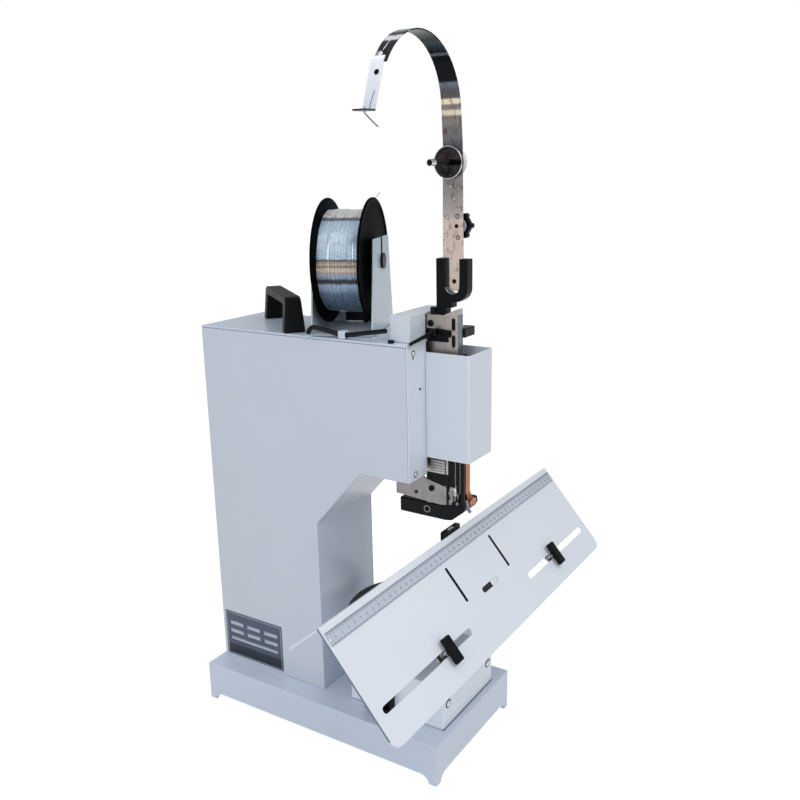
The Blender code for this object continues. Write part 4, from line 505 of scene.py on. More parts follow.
def pan_screw(centre, axis, radius, height, turn_by, cross=False):
    """A domed head with a sunk slot or cross."""
    matrix = facing(centre, axis) @ Matrix.Rotation(turn_by, 4, "Z")
    profile = [(0.0, 0.0), (radius, 0.0)]
    for step in range(7):
        angle = math.pi / 2 * step / 6
        profile.append((radius * math.cos(angle * 0.98), height * 0.25 + height * 0.75 * math.sin(angle)))
    dome = turned([*profile, (0.0, height)], matrix, 32)
    cutters = []
    for angle in (0.0, math.pi / 2) if cross else (0.0,):
        form = bmesh.new()
        length = radius * (1.25 if cross else 2.4)
        size = Matrix.Diagonal((length * MM, radius * 0.26 * MM, height * 1.1 * MM, 1.0))
        middle = Matrix.Translation((0.0, 0.0, height * 1.05 * MM))
        bmesh.ops.create_cube(form, size=1.0, matrix=matrix @ Matrix.Rotation(angle, 4, "Z") @ middle @ size)
        cutters.append(from_form(form))
        change = dome.modifiers.new("recess", "BOOLEAN")
        change.object = cutters[-1]
        change.operation = "DIFFERENCE"
        change.solver = "EXACT"
    dome = applied(dome)
    for cutter in cutters:
        bpy.data.objects.remove(cutter, do_unlink=True)
    return creased(dome, 35)


def curve_object(spots, closed, **settings):
    curve = bpy.data.curves.new("route", "CURVE")
    for name, value in settings.items():
        setattr(curve, name, value)
    spline = curve.splines.new("POLY")
    spline.points.add(len(spots) - 1)
    for knot, spot in zip(spline.points, spots):
        knot.co = (*spot, 1.0)
    spline.use_cyclic_u = closed
    item = bpy.data.objects.new("route", curve)
    pieces.objects.link(item)
    return item


def wire_form(route, radius):
    """A round wire along world places."""
    item = applied(curve_object(route, False, dimensions="3D", bevel_depth=radius * MM, bevel_resolution=1,
                                use_fill_caps=True))
    item.data.shade_smooth()
    return item


def helix(x, y, radius, low, high, turns, steps):
    """A wire's route round an upright axis, with some steps to each turn."""
    angles = [2 * math.pi * step / steps for step in range(turns * steps + 1)]
    return [point(x + radius * math.cos(angle), y + radius * math.sin(angle),
                  low + (high - low) * angle / angles[-1]) for angle in angles]


def flat_form(outline, thickness, matrix, width=0.3, segments=2):
    """A flat outline in millimetres, given a thickness about its plane."""
    item = curve_object([(across * MM, up * MM, 0.0) for across, up in outline], True, dimensions="2D",
                        fill_mode="BOTH", extrude=thickness * MM / 2)
    item.matrix_world = matrix
    item = applied(item)
    form = bmesh.new()
    form.from_mesh(item.data)
    simplified(form)
    bmesh.ops.recalc_face_normals(form, faces=form.faces)
    form.to_mesh(item.data)
    form.free()
    return rounded_edges(item, width, segments) if width > 0.0 else item


def rectangle(left, right, low, high):
    return [(left, low), (right, low), (right, high), (left, high)]


def arc(centre, radius, start, stop, steps, squeeze=1.0):
    """Points round a centre, from one angle in degrees to another."""
    angles = [math.radians(start + (stop - start) * step / steps) for step in range(steps + 1)]
    return [(centre[0] + radius * math.cos(angle), centre[1] + radius * squeeze * math.sin(angle))
            for angle in angles]


def slot_loop(x, z, half_length, width):
    """An upright slot with round ends."""
    radius = width / 2
    reach = half_length - radius
    return arc((x, z + reach), radius, 0.0, 180.0, 8) + arc((x, z - reach), radius, 180.0, 360.0, 8)


def face_x(x):
    """Outlines in (Y, Z) at a place along X."""
    return Matrix.Translation(point(x, 0, 0)) @ Matrix(((0, 0, 1, 0), (1, 0, 0, 0), (0, 1, 0, 0), (0, 0, 0, 1)))


def face_y(y):
    """Outlines in (X, Z) at a place along Y."""
    return Matrix.Translation(point(0, y, 0)) @ Matrix(((1, 0, 0, 0), (0, 0, -1, 0), (0, 1, 0, 0), (0, 0, 0, 1)))


def slope(x=0.0, down=0.0, out=0.0):
    """Outlines in (X, up the front plate) about a place down from the ridge, some way out of the face."""
    turn = Matrix.Rotation(FRONT_SLOPE, 4, "X")
    return (Matrix.Translation(point(0, RIDGE_Y, RIDGE_Z)) @ turn
            @ Matrix.Translation((x * MM, -down * MM, out * MM)))


# Casing, base and table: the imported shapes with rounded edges

def dress_casing():
    refine_each(base_skirt=0.9, left_side_panel=0.55, right_side_panel=0.55, arm_underside_and_column_sheet=0.55,
                back_panel=0.5, head_front_panel=0.5, head_front_panel_right=0.5, crank_cover_box=0.7,
                head_guard=0.45, pedestal_cover=0.6, table_front_plate=0.4, table_rear_plate=0.4,
                edge_ruler=0.25, table_bracket=0.6, key_holder=0.4, top_lid=0.3, mains_inlet=0.4,
                power_rocker=0.4)
    screws = [pan_screw((x, PANEL_FRONT_Y, z), FRONT, radius, 1.8, turn) for x, z, radius, turn in (
        (-50.3, 477, 2.7, 0.7), (-49.2, 344.8, 2.7, 1.2), (43, 477, 3.0, 0.2), (43, 344, 3.0, 0.9))]
    screws += [pan_screw((x, PEDESTAL_FRONT_Y, PEDESTAL_SCREW_Z), FRONT, 4.2, 2.4, turn)
               for x, turn in ((-48.5, 1.2), (48.5, 0.9))]
    screws += [pan_screw((x, y, LID_TOP), UP, 3.4, 1.4, turn) for x, y, turn in ((-36, 104, 1.0), (40, 300, 0.3))]
    screws += [pan_screw((x, PANEL_BACK_Y, z), BACK, 3.0, 1.8, z, cross=True)
               for x in (-55.0, 42.0) for z in (64.0, 268.0, 470.0)]
    screws += [pan_screw((SIDE_RIGHT_X, y, z), RIGHT, 3.0, 1.8, y + z, cross=True) for y, z in (
        (190, 64), (320, 64), (320, 268), (320, 470), (190, 320), (62, 470), (62, 352))]
    place_piece(merged(screws), "casing_screws", bright_screw)

    marks = [round_bar((x, PANEL_FRONT_Y + 0.6, z), (x, PANEL_FRONT_Y - rise, z), radius, 0.05)
             for x, z, rise, radius in ((-51.0, 472.0, 0.12, 1.3), (-37.9, 436.6, 0.5, 1.5))]
    marks += [washer((x, PEDESTAL_FRONT_Y - 0.02, PEDESTAL_SCREW_Z), FRONT, 5.4, 4.0, 0.5) for x in (-48.5, 48.5)]
    marks += [washer((x, PANEL_FRONT_Y - 0.02, z), FRONT, 3.5, 2.75, 0.3)
              for x, z in ((-50.3, 477), (-49.2, 344.8))]
    place_piece(merged(marks), "panel_pin_hole", black_steel)
    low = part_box("pedestal_cover")[0].z / MM
    seam = block((-60.1, PEDESTAL_FRONT_Y - 0.15, low - 0.02), (60.1, PEDESTAL_FRONT_Y + 0.3, low + 1.1), 0.02, 1)
    place_piece(seam, "pedestal_seam", rubber)
    peg = cap_screw((-56.0, 69.5, LID_TOP), UP, 3.3, 3.2)
    place_piece(peg, "lid_cap_screw", black_steel)


def dress_plate():
    """The place of the data plate: a blank sheet with plain fields, on the left side."""
    sheet = flat_form(rectangle(236.5, 329, 54.8, 116), 0.6, face_x(SIDE_LEFT_X - 0.3), width=0.15)
    place_piece(sheet, "blank_data_plate", plate_dark)
    face = SIDE_LEFT_X - 0.66

    def field(front, back, low, high, rise=0.1):
        return block((face, front, low), (face + rise, back, high), 0.02, 1)

    fields = [field(238, 327.5, 56.3, 57.0), field(238, 327.5, 113.8, 114.5), field(238, 238.7, 56.3, 114.5),
              field(326.8, 327.5, 56.3, 114.5), field(244, 321, 77, 81)]
    fields += [field(front, front + 21, low, low + 5) for low in (98, 87) for front in (244, 272, 300)]
    place_piece(merged(fields), "blank_plate_fields", plate_light)
    strip = field(239, 326.6, 57.2, 70.5, 0.12)
    place_piece(strip, "blank_plate_dark_strip", plate_black)


def dress_ruler():
    """Engraved divisions and numbers on the edge ruler."""
    top = RULER_TOP + 0.02
    upper, lower = -(RULER_DOWN - RULER_WIDTH / 2) - 0.4, -(RULER_DOWN + RULER_WIDTH / 2) + 0.4
    matrix = slope(out=top)
    form = bmesh.new()

    def stroke(x, start, stop, half_width=0.11):
        rings = [[form.verts.new(matrix @ Vector((across * MM, up * MM, rise * MM)))
                  for across, up in rectangle(x - half_width, x + half_width, start, stop)]
                 for rise in (-0.02, 0.03)]
        form.faces.new(rings[1])
        skin(form, rings)

    for division in range(1, 2 * RULER_HALF):
        length = 4.6 if division % 10 == 0 else 3.4 if division % 5 == 0 else 2.2
        stroke(division - RULER_HALF, upper, upper - length)
        if division % 5 == 0:
            stroke(division - RULER_HALF, lower, lower + length * 0.55)
    bmesh.ops.recalc_face_normals(form, faces=form.faces)
    place_piece(from_form(form), "ruler_divisions", ink, "table")

    texts = []
    for number in range(1, 2 * RULER_HALF // 10):
        curve = bpy.data.curves.new("number", "FONT")
        curve.body = str(number)
        curve.size = 3.6 * MM
        curve.align_x = "CENTER"
        curve.extrude = 0.02 * MM
        item = bpy.data.objects.new("number", curve)
        pieces.objects.link(item)
        item.matrix_world = slope(number * 10 - RULER_HALF, 8.4 - upper, top)
        texts.append(applied(item))
    place_piece(merged(texts), "ruler_numbers", ink, "table")
    inset = RULER_WIDTH / 2 - 0.25
    edges = [flat_form(rectangle(-RULER_HALF, RULER_HALF, -0.22, 0.22), 0.12, slope(0, down, top), width=0.0)
             for down in (RULER_DOWN - inset, RULER_DOWN + inset)]
    place_piece(merged(edges), "ruler_edge_lines", ink, "table")
    rivets = [turned([(0.0, 0.0), (1.5, 0.0), (1.3, 0.4), (0.6, 0.7), (0.0, 0.75)],
                     slope(x, RULER_DOWN + 1.5, RULER_TOP), 20) for x in (3 - RULER_HALF, RULER_HALF - 3)]
    place_piece(merged(rivets), "ruler_rivets", bright_screw, "table")


def dress_stops():
    """Each paper stop: a moulded block on a steel stem, with its collar, nut, tongue and rubber rails."""
    for name, body, x, reach in (("left_paper_stop", "left_stop", STOP_LEFT_X, 15.5),
                                 ("right_paper_stop", "right_stop", STOP_RIGHT_X, 9.5)):
        foot = flat_form(rectangle(-5.7, 5.7, -14.2, 14.2), 5.4, slope(x, SLOT_DOWN, 6.75), 0.8, 3)
        cap = flat_form(rectangle(-5.2, 5.2, -13.7, 13.7), 2.0, slope(x, SLOT_DOWN, 9.3), 0.8, 3)
        place_piece(merged([foot, cap]), name + ".block", black_plastic, body, name)
        spot = slope(x, SLOT_DOWN)
        stem = turned([(0.0, -7.2), (2.7, -7.2), (2.7, 4.4), (0.0, 4.4)], spot, 24)
        collar = turned([(2.7, 0.4), (4.2, 0.4), (4.4, 0.6), (4.4, 1.6), (4.2, 1.8), (2.7, 1.8)], spot, 32)
        nut = turned([(2.7, -7.3), (7.0, -7.3), (7.4, -6.9), (7.4, -3.8), (7.0, -3.5), (2.7, -3.5)], spot, 6)
        tongue = flat_form(rectangle(-reach, 6, -3.1, 3.1), 0.8, slope(x, SLOT_DOWN, -2.9), 0.15)
        place_piece(merged([stem, collar, nut, tongue]), name + ".stem", bright_screw, body)
        rails = [flat_form(sides, 0.9, slope(x, SLOT_DOWN, -2.75), 0.1)
                 for sides in (rectangle(-reach, 5, -3.4, -2.2), rectangle(-reach, 6 - reach, 2.0, 3.4))]
        place_piece(merged(rails), name + ".rails", rubber, body)


def dress_table():
    """What shows through the table's slots, its sunk screws and the clincher on the ridge."""
    for side, x in (("left", -51.0), ("right", 51.0)):
        strip = flat_form(slot_loop(x, -47.15, 21.3, 4.2), 1.2, slope(out=-0.55), width=0.0)
        place_piece(strip, "slot_backing_" + side, black_plastic, "table")
    stop = flat_form(rectangle(-18.4, 2.6, -73.6, -67.4), 1.2, slope(out=-0.75), width=0.0)
    place_piece(stop, "centre_slot_stop", rubber, "table")
    pad = flat_form(rectangle(2.8, 16.4, -73.7, -67.3), 2.2, slope(out=-0.6), 0.8, 3)
    place_piece(pad, "centre_slot_pad", milky_plastic, "table")
    heads = [turned([(0.0, -0.1), (2.4, -0.1), (2.3, 0.1), (0.9, 0.12), (0.8, -0.05), (0.0, -0.05)],
                    slope(x, 80.0), 24) for x in (-58.0, 58.0)]
    place_piece(merged(heads), "table_sunk_screws", table_paint, "table")
    refined("clincher_block", 0.35)
    low, high = ((corner - point(0, 0, 0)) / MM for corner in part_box("clincher_plunger"))
    inset = Vector((0.25, 0.25, 0.0))
    place_piece(block(low + inset, high - inset, 0.25), "plunger", bright_screw,
                "clincher_punch", "clincher_plunger")
    jaws = blocks((-13, -8, 27.8, 34.0, 264.5, 269.3, 0.5), (8, 13, 27.8, 34.0, 264.5, 269.3, 0.5))
    place_piece(jaws, "clincher_jaws", black_steel, "table")


def dress_wheel():
    """Handwheel with three spokes and a collared hub, and the thread of the lift screw above it."""
    centre = Vector((LIFT_X, LIFT_Y, WHEEL_Z))
    matrix = Matrix.Translation(point(*centre))
    path = WHEEL_RADIUS - RIM_RADIUS
    parts = [turned(arc((path, 0.0), RIM_RADIUS, 0.0, 360.0, 20), matrix, 96),
             turned([(8.6, -10.4), (17.0, -10.4), (18.0, -9.4), (18.0, 11.0), (16.5, 14.0), (12.5, 15.0),
                     (8.6, 15.0), (8.6, -10.4)], matrix)]
    for angle in (40.0, 160.0, 280.0):
        way = Vector((math.cos(math.radians(angle)), math.sin(math.radians(angle)), 0.0))
        parts.append(round_bar(centre + way * 15 - Vector(UP), centre + way * path, 6.0, 0.2, 24, end_radius=4.6))
    place_piece(merged(parts), "handwheel", wheel_iron, "lift_wheel", "lift_handwheel")
    thread = wire_form(helix(LIFT_X, LIFT_Y, 8.0, 164.0, 172.0, 4, 20), 0.5)
    place_piece(merged([thread]), "lift_screw_thread", ground_steel, "table")
    refined("lift_guide_bush", 0.5)


# Reel and lid

def reel_axes():
    """Axes of the reel and its stand: Y along the axle, to the machine's front."""
    return Matrix.Translation(point(*REEL_PLACE)) @ Matrix.Rotation(REEL_TURN + math.pi, 4, "Z")


def dress_reel():
    """Reel with a raised rim, a bed of wire and its outer layer, slightly uneven as wound."""
    place = reel_axes()
    axis = place @ Matrix.Rotation(-math.pi / 2, 4, "X")
    half = REEL_WIDTH / 2
    inner = half - FLANGE_THICK

    def flange(side):
        rim = FLANGE_RADIUS
        rows = [(20.2, inner), (rim - 1.0, inner), (rim - 0.3, inner + 0.3), (rim, inner + 1.0),
                (rim, half - 0.8), (rim - 0.3, half - 0.2), (rim - 1.2, half), (rim - 3.6, half),
                (rim - 4.4, half - 0.4), (rim - 5.0, half - 1.2), (30.0, half - 1.3), (28.5, half - 1.0),
                (27.0, half - 0.2), (22.0, half - 0.1), (20.0, half - 0.2), (6.6, half - 0.2)]
        return [(radius, height * side) for radius, height in rows]

    near = flange(1)
    reel = turned([near[-1], *reversed(flange(-1)), *near], axis, 128)
    place_piece(reel, "reel", reel_plastic, "wire_spool", "spool_reel")

    bed_radius, bed_half = WINDING_RADIUS - 0.5, inner - 0.1
    bed = turned([(20.5, -bed_half), (bed_radius, -bed_half), (bed_radius, bed_half), (20.5, bed_half),
                  (20.5, -bed_half)], axis, 128)
    place_piece(bed, "wire_layers_below", wire_bed, "wire_spool", "winding_core")

    def on_winding(angle, radius, height):
        return axis @ Vector((radius * MM * math.cos(angle), radius * MM * math.sin(angle), height * MM))

    def between(values, index, blend):
        return values[index] * (1 - blend) + values[index + 1] * blend

    per_turn = 48
    edge = inner - WIRE_RADIUS - 0.1
    route = []
    wander = [random.uniform(-0.12, 0.12) for _ in range(WIRE_TURNS + 2)]
    swell = [random.uniform(-0.10, 0.22) for _ in range(WIRE_TURNS + 2)]
    for step in range(WIRE_TURNS * per_turn + 1):
        share = step / per_turn
        index = int(share)
        angle = 2 * math.pi * share
        height = 2 * edge * share / WIRE_TURNS - edge + between(wander, index, share - index)
        radius = WINDING_RADIUS + between(swell, index, share - index) + 0.10 * math.sin(angle * 3 + index)
        route.append(on_winding(angle, radius, max(-edge, min(edge, height))))
    place_piece(wire_form(route, WIRE_RADIUS), "wound_wire", wire_steel_painted_reflections, "wire_spool", "wire_turns")

    # A few turns cross over the layer, as the last wire laid on
    crossings = []
    for _ in range(9):
        start = random.uniform(0, 2 * math.pi)
        height = random.uniform(-inner + 2, inner - 6)
        rise = random.uniform(1.5, 5.0) * random.choice((-1, 1))
        sweep = random.uniform(1.6, 3.6)
        route = []
        for step in range(40):
            share = step / 39
            across = max(-inner + 1, min(inner - 1, height + rise * (3 * share ** 2 - 2 * share ** 3)))
            radius = WINDING_RADIUS + 0.80 * math.sin(math.pi * min(1.0, share * 8, (1 - share) * 8) / 2)
            route.append(on_winding(start + sweep * share, radius, across))
        crossings.append(wire_form(route, WIRE_RADIUS * 0.9))
    place_piece(merged(crossings), "wire_crossings", wire_steel_painted_reflections, "wire_spool")

    # Free end that rises from the near flange
    base = place @ Vector((-16 * MM, 23.2 * MM, 65.5 * MM))
    route = [base + Vector((4.0 * share, -9.0 * share + 3.0 * share ** 2, 7.8 * share)) * MM
             for share in (step / 8 for step in range(9))]
    place_piece(wire_form(route, WIRE_RADIUS), "wire_free_end", plain_wire, "wire_spool")


def dress_stand():
    """Two uprights with keyhole slots on a foot, and the bar that joins them."""
    place = reel_axes()
    low, shoulder, top, seat = -76.6, -74.0, 26.0, 0.4

    def standing(y):
        return place @ Matrix.Translation((0.0, y * MM, 0.0)) @ Matrix.Rotation(math.pi / 2, 4, "X")

    def keyhole(radius, half_slot, rise):
        start = math.degrees(math.acos(half_slot / radius))
        return [(half_slot, rise), *arc((0.0, seat), radius, start, -180.0 - start, 32), (-half_slot, rise)]

    for y, name in ((34.0, "stand_near_upright"), (-34.0, "stand_far_upright")):
        outline = keyhole(7.5, 3.4, top) + [(-33.0, top), (-49.5, shoulder), (-49.5, low), (49.5, low),
                                            (49.5, shoulder), (33.0, top)]
        plate = flat_form(outline, 2.0, standing(y), 0.45)
        place_piece(plate, name, stand_paint, in_place_of="spool_stand")
        liner = keyhole(7.48, 3.38, top - 0.2) + list(reversed(keyhole(6.6, 2.4, top - 0.2)))
        place_piece(flat_form(liner, 1.9, standing(y), width=0.0), name + ".edge", black_plastic)
    foot = flat_form(rectangle(-49.5, 49.5, -33.1, 33.1), 2.0,
                     place @ Matrix.Translation((0.0, 0.0, (low + 1.0) * MM)))
    place_piece(foot, "stand_foot", stand_paint)
    refined("spool_axle", 0.5)
    bar = flat_form(rectangle(-41.5, -32.5, -73.0, -62.6), 50.6, standing(7.4), 0.5)
    place_piece(bar, "cross_bar", black_plastic, in_place_of="stand_cross_bar")
    post = flat_form(rectangle(-41.5, -32.5, -74.4, -62.6), 14.6, standing(-25.4), 0.5)
    place_piece(post, "cross_bar_socket", stand_paint)
    spot = place @ Vector((-34.0 * MM, 5.7 * MM, 0.0))
    head = turned([(0.0, 488.0), (3.0, 488.0), (3.0, 493.4), (0.0, 493.4)],
                  Matrix.Translation((spot.x, spot.y, 0.0)), 32)
    place_piece(head, "stand_foot_screw", black_plastic)


def dress_lid():
    refined("carry_handle", 1.1, 3)
    refine_each(hex_key_long=0.35, hex_key_short=0.35, feed_release_lever=0.3)


# Neck

def dress_neck():
    """The fork, the spring strip with its holes and rivets, and the bright edge of the fork's slot, a painted
    reflection.
    """
    slot = (FORK_SLOT_Y, FORK_SLOT_Z)
    outline = [(39.5, 513.3), (39.5, 571.5), (29.0, 571.5), *arc(slot, 8.4, 0.0, -180.0, 20), (12.2, 571.5),
               (2.5, 571.5), (2.5, 541.0), (3.2, 537.0), (5.2, 533.0), (8.5, 530.0), (13.0, 527.6),
               (20.8, 525.6), (20.8, 520.8), (28.0, 520.8), (28.0, 513.3)]
    fork = flat_form(outline, 11.5, face_x(FORK_X), 0.6, 3)
    place_piece(fork, "fork", fork_black, in_place_of="neck_fork")
    refine_each(swan_neck_strip=0.25, wire_eyelet_bracket=0.3, tension_felt=0.5, tension_pressure_plate=0.3,
                tension_bolt=0.3, tension_nut=0.4, star_knob=0.6)
    face = STRIP_X - 0.01
    holes = [washer((face, y, z), LEFT, 2.4, 1.5, 0.12) for y, z in ((16.8, 614.0), (16.4, 592.8))]
    holes += [washer((face, y, z), LEFT, 2.2, 1.9, 0.08) for y, z in ((28.4, 612.7), (30.0, 595.0))]
    holes.append(disc((face, 20.9, 547.9), LEFT, 2.5, 0.12, 0.2))
    place_piece(merged(holes), "strip_holes", black_steel)
    pins = [disc((face, y, z), LEFT, radius, 0.1, radius * 0.08)
            for y, z, radius in ((16.8, 614.0, 1.4), (16.4, 592.8, 1.4), (24.7, 643.6, 1.5), (21.0, 631.6, 1.4))]
    place_piece(merged(pins), "strip_rivets", bright_screw)
    # Painted reflection: a bluish steel crescent on the round bottom of the black fork's slot, where it catches the
    # light.
    liner = flat_form(arc(slot, 8.42, -110.0, -12.0, 16) + arc(slot, 8.12, -12.0, -110.0, 16), 10.9,
                      face_x(FORK_X), width=0.0)
    place_piece(liner, "fork_slot_painted_reflection", guide_blue)


def dress_brake():
    """A polished face in a bright rim, its dark tone a painted reflection; the spring, the nut's dark end and a cup
    behind the strip.
    """
    seat, felt_thick, plate_thick, bolt_reach = 0.3, 4.0, 1.2, 41.0
    face = STRIP_X - seat - felt_thick - seat - plate_thick

    def on_bolt(x):
        return facing((x, BRAKE_Y, BRAKE_Z), LEFT)

    plate = turned([(2.6, 0.0), (15.4, 0.0), (15.3, 0.12), (2.6, 0.12)], on_bolt(face), 64)
    place_piece(plate, "brake_plate_face", plate_painted_reflection)
    coils = [(radius, 1.2 * coil + rise) for coil in range(18)
             for radius, rise in ((2.75, 0.3), (3.0, 0.7), (2.75, 1.1))]
    spring = turned([(2.4, 0.0), *coils, (2.4, 22.0), (2.4, 0.0)], on_bolt(face - 0.2), 32, 50.0)
    place_piece(spring, "brake_spring", key_steel)
    end = turned([(0.0, 0.0), (2.9, 0.0), (2.7, 0.25), (0.0, 0.3)], on_bolt(STRIP_X - seat - bolt_reach), 24)
    place_piece(end, "brake_nut_end", key_steel, "felt_nut")
    cup = turned([(3.9, -1.6), (9.0, -1.6), (13.7, -6.2), (14.5, -7.4), (14.5, -8.4), (13.9, -8.8), (3.9, -8.8),
                  (3.9, -1.6)], on_bolt(STRIP_X))
    place_piece(cup, "brake_back_cup", milky_plastic)
    collar = washer((-0.95, 18.0, 604.2), LEFT, 7.6, 2.2, 0.8)
    place_piece(collar, "star_knob_washer", ruler_steel, body_of["star_knob"])


def dress_eyelet():
    """A screw, a hole, a groove, a painted shadow and a painted highlight line on the eyelet's bracket and the
    strip's end.
    """
    def on_arc(angle, y, radius):
        way = Vector((math.cos(math.radians(angle)), 0.0, math.sin(math.radians(angle))))
        return Vector((ARC_X, y, ARC_Z)) + way * radius, way

    strip_inside, leg_lean = 68.62, math.radians(70.0)
    place_piece(pan_screw(*on_arc(142.0, 24.0, 69.5), 3.0, 1.6, 0.6), "eyelet_bracket_screws", chrome)
    leg_way = Vector((-math.cos(leg_lean), 0.0, -math.sin(leg_lean)))
    leg_out = Vector((-math.sin(leg_lean), 0.0, math.cos(leg_lean)))
    start, _ = on_arc(148.0, ARC_Y, 70.3)
    hole = disc(start + leg_way * 10.6 + Vector((0.0, -0.2, 0.0)), leg_out, 2.6, 0.4)
    # A black disc on the strip beside the screw: painted shadow.
    shade = disc(*on_arc(139.0, 22.6, strip_inside), 3.4, 0.08)
    groove = wire_form([point(*(start + leg_way * down + leg_out * 0.4 + Vector((0.0, across, 0.0))))
                        for down, across in ((27, -1.6), (36, 0.2), (43, 0.6))], 0.22)
    place_piece(merged([hole, shade, groove]), "eyelet_bracket_marks_and_painted_shadow", black_steel)
    # A bright line along the strip's end: painted highlight.
    glint = [point(*on_arc(angle, 22.0 + (angle - 126.0) * 0.1, strip_inside)[0]) for angle in range(126, 139, 2)]
    place_piece(wire_form(glint, 0.35), "strip_end_glint", bright_screw)


# Stitching head

def dress_head():
    """The stitching head: side plates, clamp bars, the wire drive and the small screws."""
    refine_each(head_side_frame=0.5, head_clamp_bar=0.3, wire_feed_block=0.25, head_bracket_plate=0.35,
                stitch_shoe=0.7, driver_slide=0.3, feed_adjuster_block=0.8, slide_guide_bar=0.4)
    screws = [cap_screw((HEAD_X - out, y, z), LEFT, radius, height, share) for out, y, z, radius, height, share in (
        (0.0, 45.0, 503.5, 3.6, 0.9, 0.55), (2.5, 44.5, 319.6, 3.4, 1.6, 0.5), (2.5, 64.5, 311.8, 1.9, 0.8, 0.5),
        (1.4, 47.0, 331.5, 2.6, 0.8, 0.5))]
    screws.append(cap_screw((-11.0, 44.0, 513.3), UP, 3.6, 7.0))
    place_piece(merged(screws), "head_screws", black_steel)
    shoe_y, shoe_z = 52.0, 293.0
    place_piece(cap_screw((HEAD_X, shoe_y, shoe_z), LEFT, 3.1, 1.0, 0.45), "shoe_screw", black_steel)
    place_piece(washer((HEAD_X + 0.02, shoe_y, shoe_z), LEFT, 4.2, 3.15, 0.5), "shoe_screw_ring", dull_steel)
    strap = flat_form([(9.0, 372.0), (10.4, 372.0), (10.4, 316.5), (9.3, 311.8), (6.4, 306.2), (4.6, 303.0),
                       (3.2, 303.4), (5.0, 307.2), (7.9, 312.6), (9.0, 316.8)], 10.0, face_x(0.0), 0.2)
    pad = flat_form(arc((1.5, 305.0), 7.5, 0.0, 348.75, 31, 0.54), 1.6, face_y(4.0))
    lug = block((-14.0, 9.0, 361.0), (-4.8, 10.4, 372.0), 0.2)
    place_piece(merged([strap, pad, lug]), "copper_guide", copper,
                body_of["copper_wire_guide"], "copper_wire_guide")

    cover = blocks((-17.4, -16.1, 23.5, 51.5, 324.5, 337.3, 0.3), (-17.4, -16.1, 23.0, 30.0, 308.5, 324.0, 0.3))
    place_piece(cover, "lower_side_cover", black_steel)
    bars = blocks((-16.2, -14.2, 5.3, 9.4, 306, 392, 0.4), (-13.6, -11.0, 7.1, 11.0, 304, 392, 0.4),
                  (-10.6, -8.2, 8.5, 12.2, 306, 392, 0.4), (-16.4, -15.0, 11.2, 15.0, 301, 400, 0.4),
                  (-16.8, -15.4, 16.4, 24.6, 324.0, 392, 0.4))
    place_piece(bars, "wire_guide_bars", black_steel)
    inserts = blocks((-16.9, -15.6, 19.0, 25.0, 312.0, 322.6, 0.5), (-16.9, -15.9, 20.5, 24.0, 303.5, 310.5, 0.5),
                     (-16.4, -16.0, 9.7, 10.3, 318, 372, 0.1), (-16.9, -16.3, 15.2, 15.9, 326, 372, 0.1),
                     (-16.9, -16.2, 15.6, 17.0, 309, 321, 0.2), (-16.7, -16.4, 11.8, 13.0, 312, 318, 0.2))
    place_piece(inserts, "wire_guide_inserts", dull_steel)
    seats = [cap_screw((-16.9, 22.0, 317.4), LEFT, 1.9, 0.7, 0.45),
             cap_screw((-16.7, 13.2, 306.5), LEFT, 1.7, 0.6, 0.45)]
    place_piece(merged(seats), "wire_guide_screws", dull_steel)
    leaf = flat_form([(5.2, 309.5), (4.0, 304.5), (3.6, 301.0), (2.0, 298.0), (0.3, 296.2), (1.2, 295.4),
                      (2.9, 297.3), (4.6, 300.6), (5.0, 304.3), (6.2, 309.5)], 5.0, face_x(-9.5), 0.2)
    place_piece(leaf, "shoe_front_leaf", dull_steel)
    face = block((-15.8, 12.15, 352.0), (-5.2, 12.45, 513.8), 0.05)
    place_piece(face, "guide_front_face", guide_blue)
    spring = wire_form(helix(-14.2, 21.2, 1.9, 306.0, 322.0, 9, 16), 0.45)
    place_piece(spring, "wire_guide_spring", bright_screw)
    # Dark strip between the upper and lower blocks of the head, and the slots of the guide
    strip = block((HEAD_X - 0.9, 23.6, 484.6), (HEAD_X + 0.1, 49.8, 491.6), 0.15)
    place_piece(strip, "head_recess_shadow_plate", black_steel)
    slots = [flat_form(slot_loop(17.6, z, 6.0, 3.4), 0.5, face_x(HEAD_X + 1.0), width=0.0) for z in (504.0, 486.0)]
    place_piece(merged(slots), "guide_slot_blades", black_steel)


def dress_works():
    refine_each(works_frame=0.8, main_crankshaft=0.4, driven_pulley=0.5, motor_pulley=0.4, motor_body=0.8,
                motor_shaft=0.4, drive_belt=0.4, lift_screw=0.5)


# Floor, light and camera

def make_floor():
    """A pale floor: the camera and the reflections see a share of pure white, the rest keeps the shadow."""
    form = bmesh.new()
    bmesh.ops.create_grid(form, x_segments=2, y_segments=2, size=6.0)
    floor = from_form(form)
    floor.name = "studio_floor"
    material = bpy.data.materials.new("studio_floor")
    material.use_nodes = True
    tree = material.node_tree
    shader = tree.nodes["Principled BSDF"]
    feed(tree, shader, {"Base Color": (0.64, 0.65, 0.67, 1.0), "Roughness": 0.7})
    path = add_node(tree, "LightPath")
    seen = add_node(tree, "Math", {0: path["Is Camera Ray"], 1: path["Is Glossy Ray"]}, operation="MAXIMUM")[0]
    white_share = add_node(tree, "Math", {0: seen, 1: 0.62}, operation="MULTIPLY")[0]
    glow = add_node(tree, "Emission", {"Strength": 1.5})[0]
    mix = add_node(tree, "MixShader", {0: white_share, 1: shader.outputs[0], 2: glow})[0]
    feed(tree, tree.nodes["Material Output"], {"Surface": mix})
    floor.data.materials.append(material)


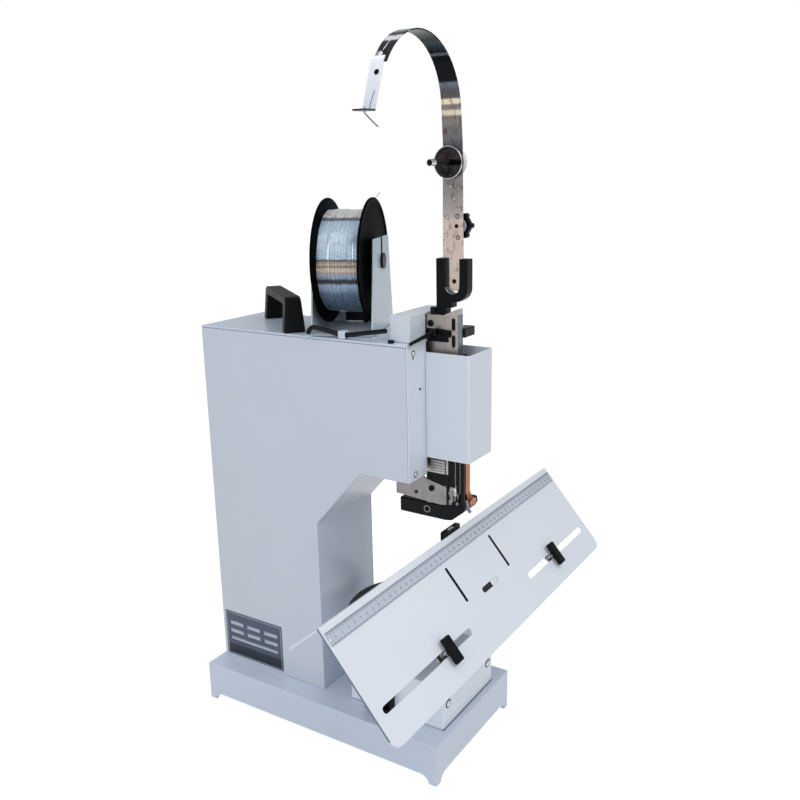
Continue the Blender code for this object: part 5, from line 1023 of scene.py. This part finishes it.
def make_world():
    """Even light, with pure white behind for the camera."""
    world = bpy.data.worlds.new("studio")
    bpy.context.scene.world = world
    world.use_nodes = True
    tree = world.node_tree
    light = tree.nodes["Background"]
    feed(tree, light, {"Color": (0.93, 0.95, 1.0, 1.0), "Strength": 0.50})
    shown = add_node(tree, "Background", {"Color": (1.0, 1.0, 1.0, 1.0), "Strength": 1.0})[0]
    seen = add_node(tree, "LightPath")["Is Camera Ray"]
    mix = add_node(tree, "MixShader", {0: seen, 1: light.outputs[0], 2: shown})[0]
    feed(tree, tree.nodes["World Output"], {"Surface": mix})


def soft_lamp(name, place, aim_height, size, power, colour=(1.0, 1.0, 1.0)):
    """A rectangle of light that looks at a height over the middle of the floor; all in metres and watts."""
    lamp = bpy.data.lights.new(name, "AREA")
    lamp.shape = "RECTANGLE"
    lamp.size, lamp.size_y = size
    lamp.energy = power
    lamp.color = colour
    item = bpy.data.objects.new(name, lamp)
    bpy.context.scene.collection.objects.link(item)
    item.location = place
    item.rotation_mode = "QUATERNION"
    item.rotation_quaternion = (Vector((0.0, 0.0, aim_height)) - Vector(place)).to_track_quat("-Z", "Y")


def make_lights():
    soft_lamp("front_softbox", (-0.2, -1.5, 1.95), 0.3, (1.2, 1.2), 16.0)
    soft_lamp("top_softbox", (-0.3, 0.1, 2.2), 0.3, (1.6, 1.6), 4.5)
    soft_lamp("left_fill", (-1.9, -0.3, 1.3), 0.4, (1.0, 1.4), 13.2, (0.94, 0.97, 1.0))


def make_camera():
    """The photograph's camera, as solved from the ruler, the cabinet and the base."""
    camera = bpy.data.cameras.new("photo_camera")
    camera.sensor_width = 36.0
    camera.lens = 39.65
    camera.clip_start = 0.05
    camera.clip_end = 30.0
    item = bpy.data.objects.new("photo_camera", camera)
    bpy.context.scene.collection.objects.link(item)
    azimuth, height, roll = math.radians(-57.36), math.radians(14.64), math.radians(-1.13)
    turn = (Matrix.Rotation(azimuth, 4, "Z") @ Matrix.Rotation(math.pi / 2 - height, 4, "X")
            @ Matrix.Rotation(roll, 4, "Z"))
    item.matrix_world = Matrix.Translation(point(-809.27, -422.73, 660.78)) @ turn
    bpy.context.scene.camera = item


for step in (dress_casing, dress_plate, dress_ruler, dress_stops, dress_table, dress_wheel, dress_reel,
             dress_stand, dress_lid, dress_neck, dress_brake, dress_eyelet, dress_head, dress_works,
             make_floor, make_world, make_lights, make_camera):
    step()
bpy.context.scene.view_settings.view_transform = "Standard"
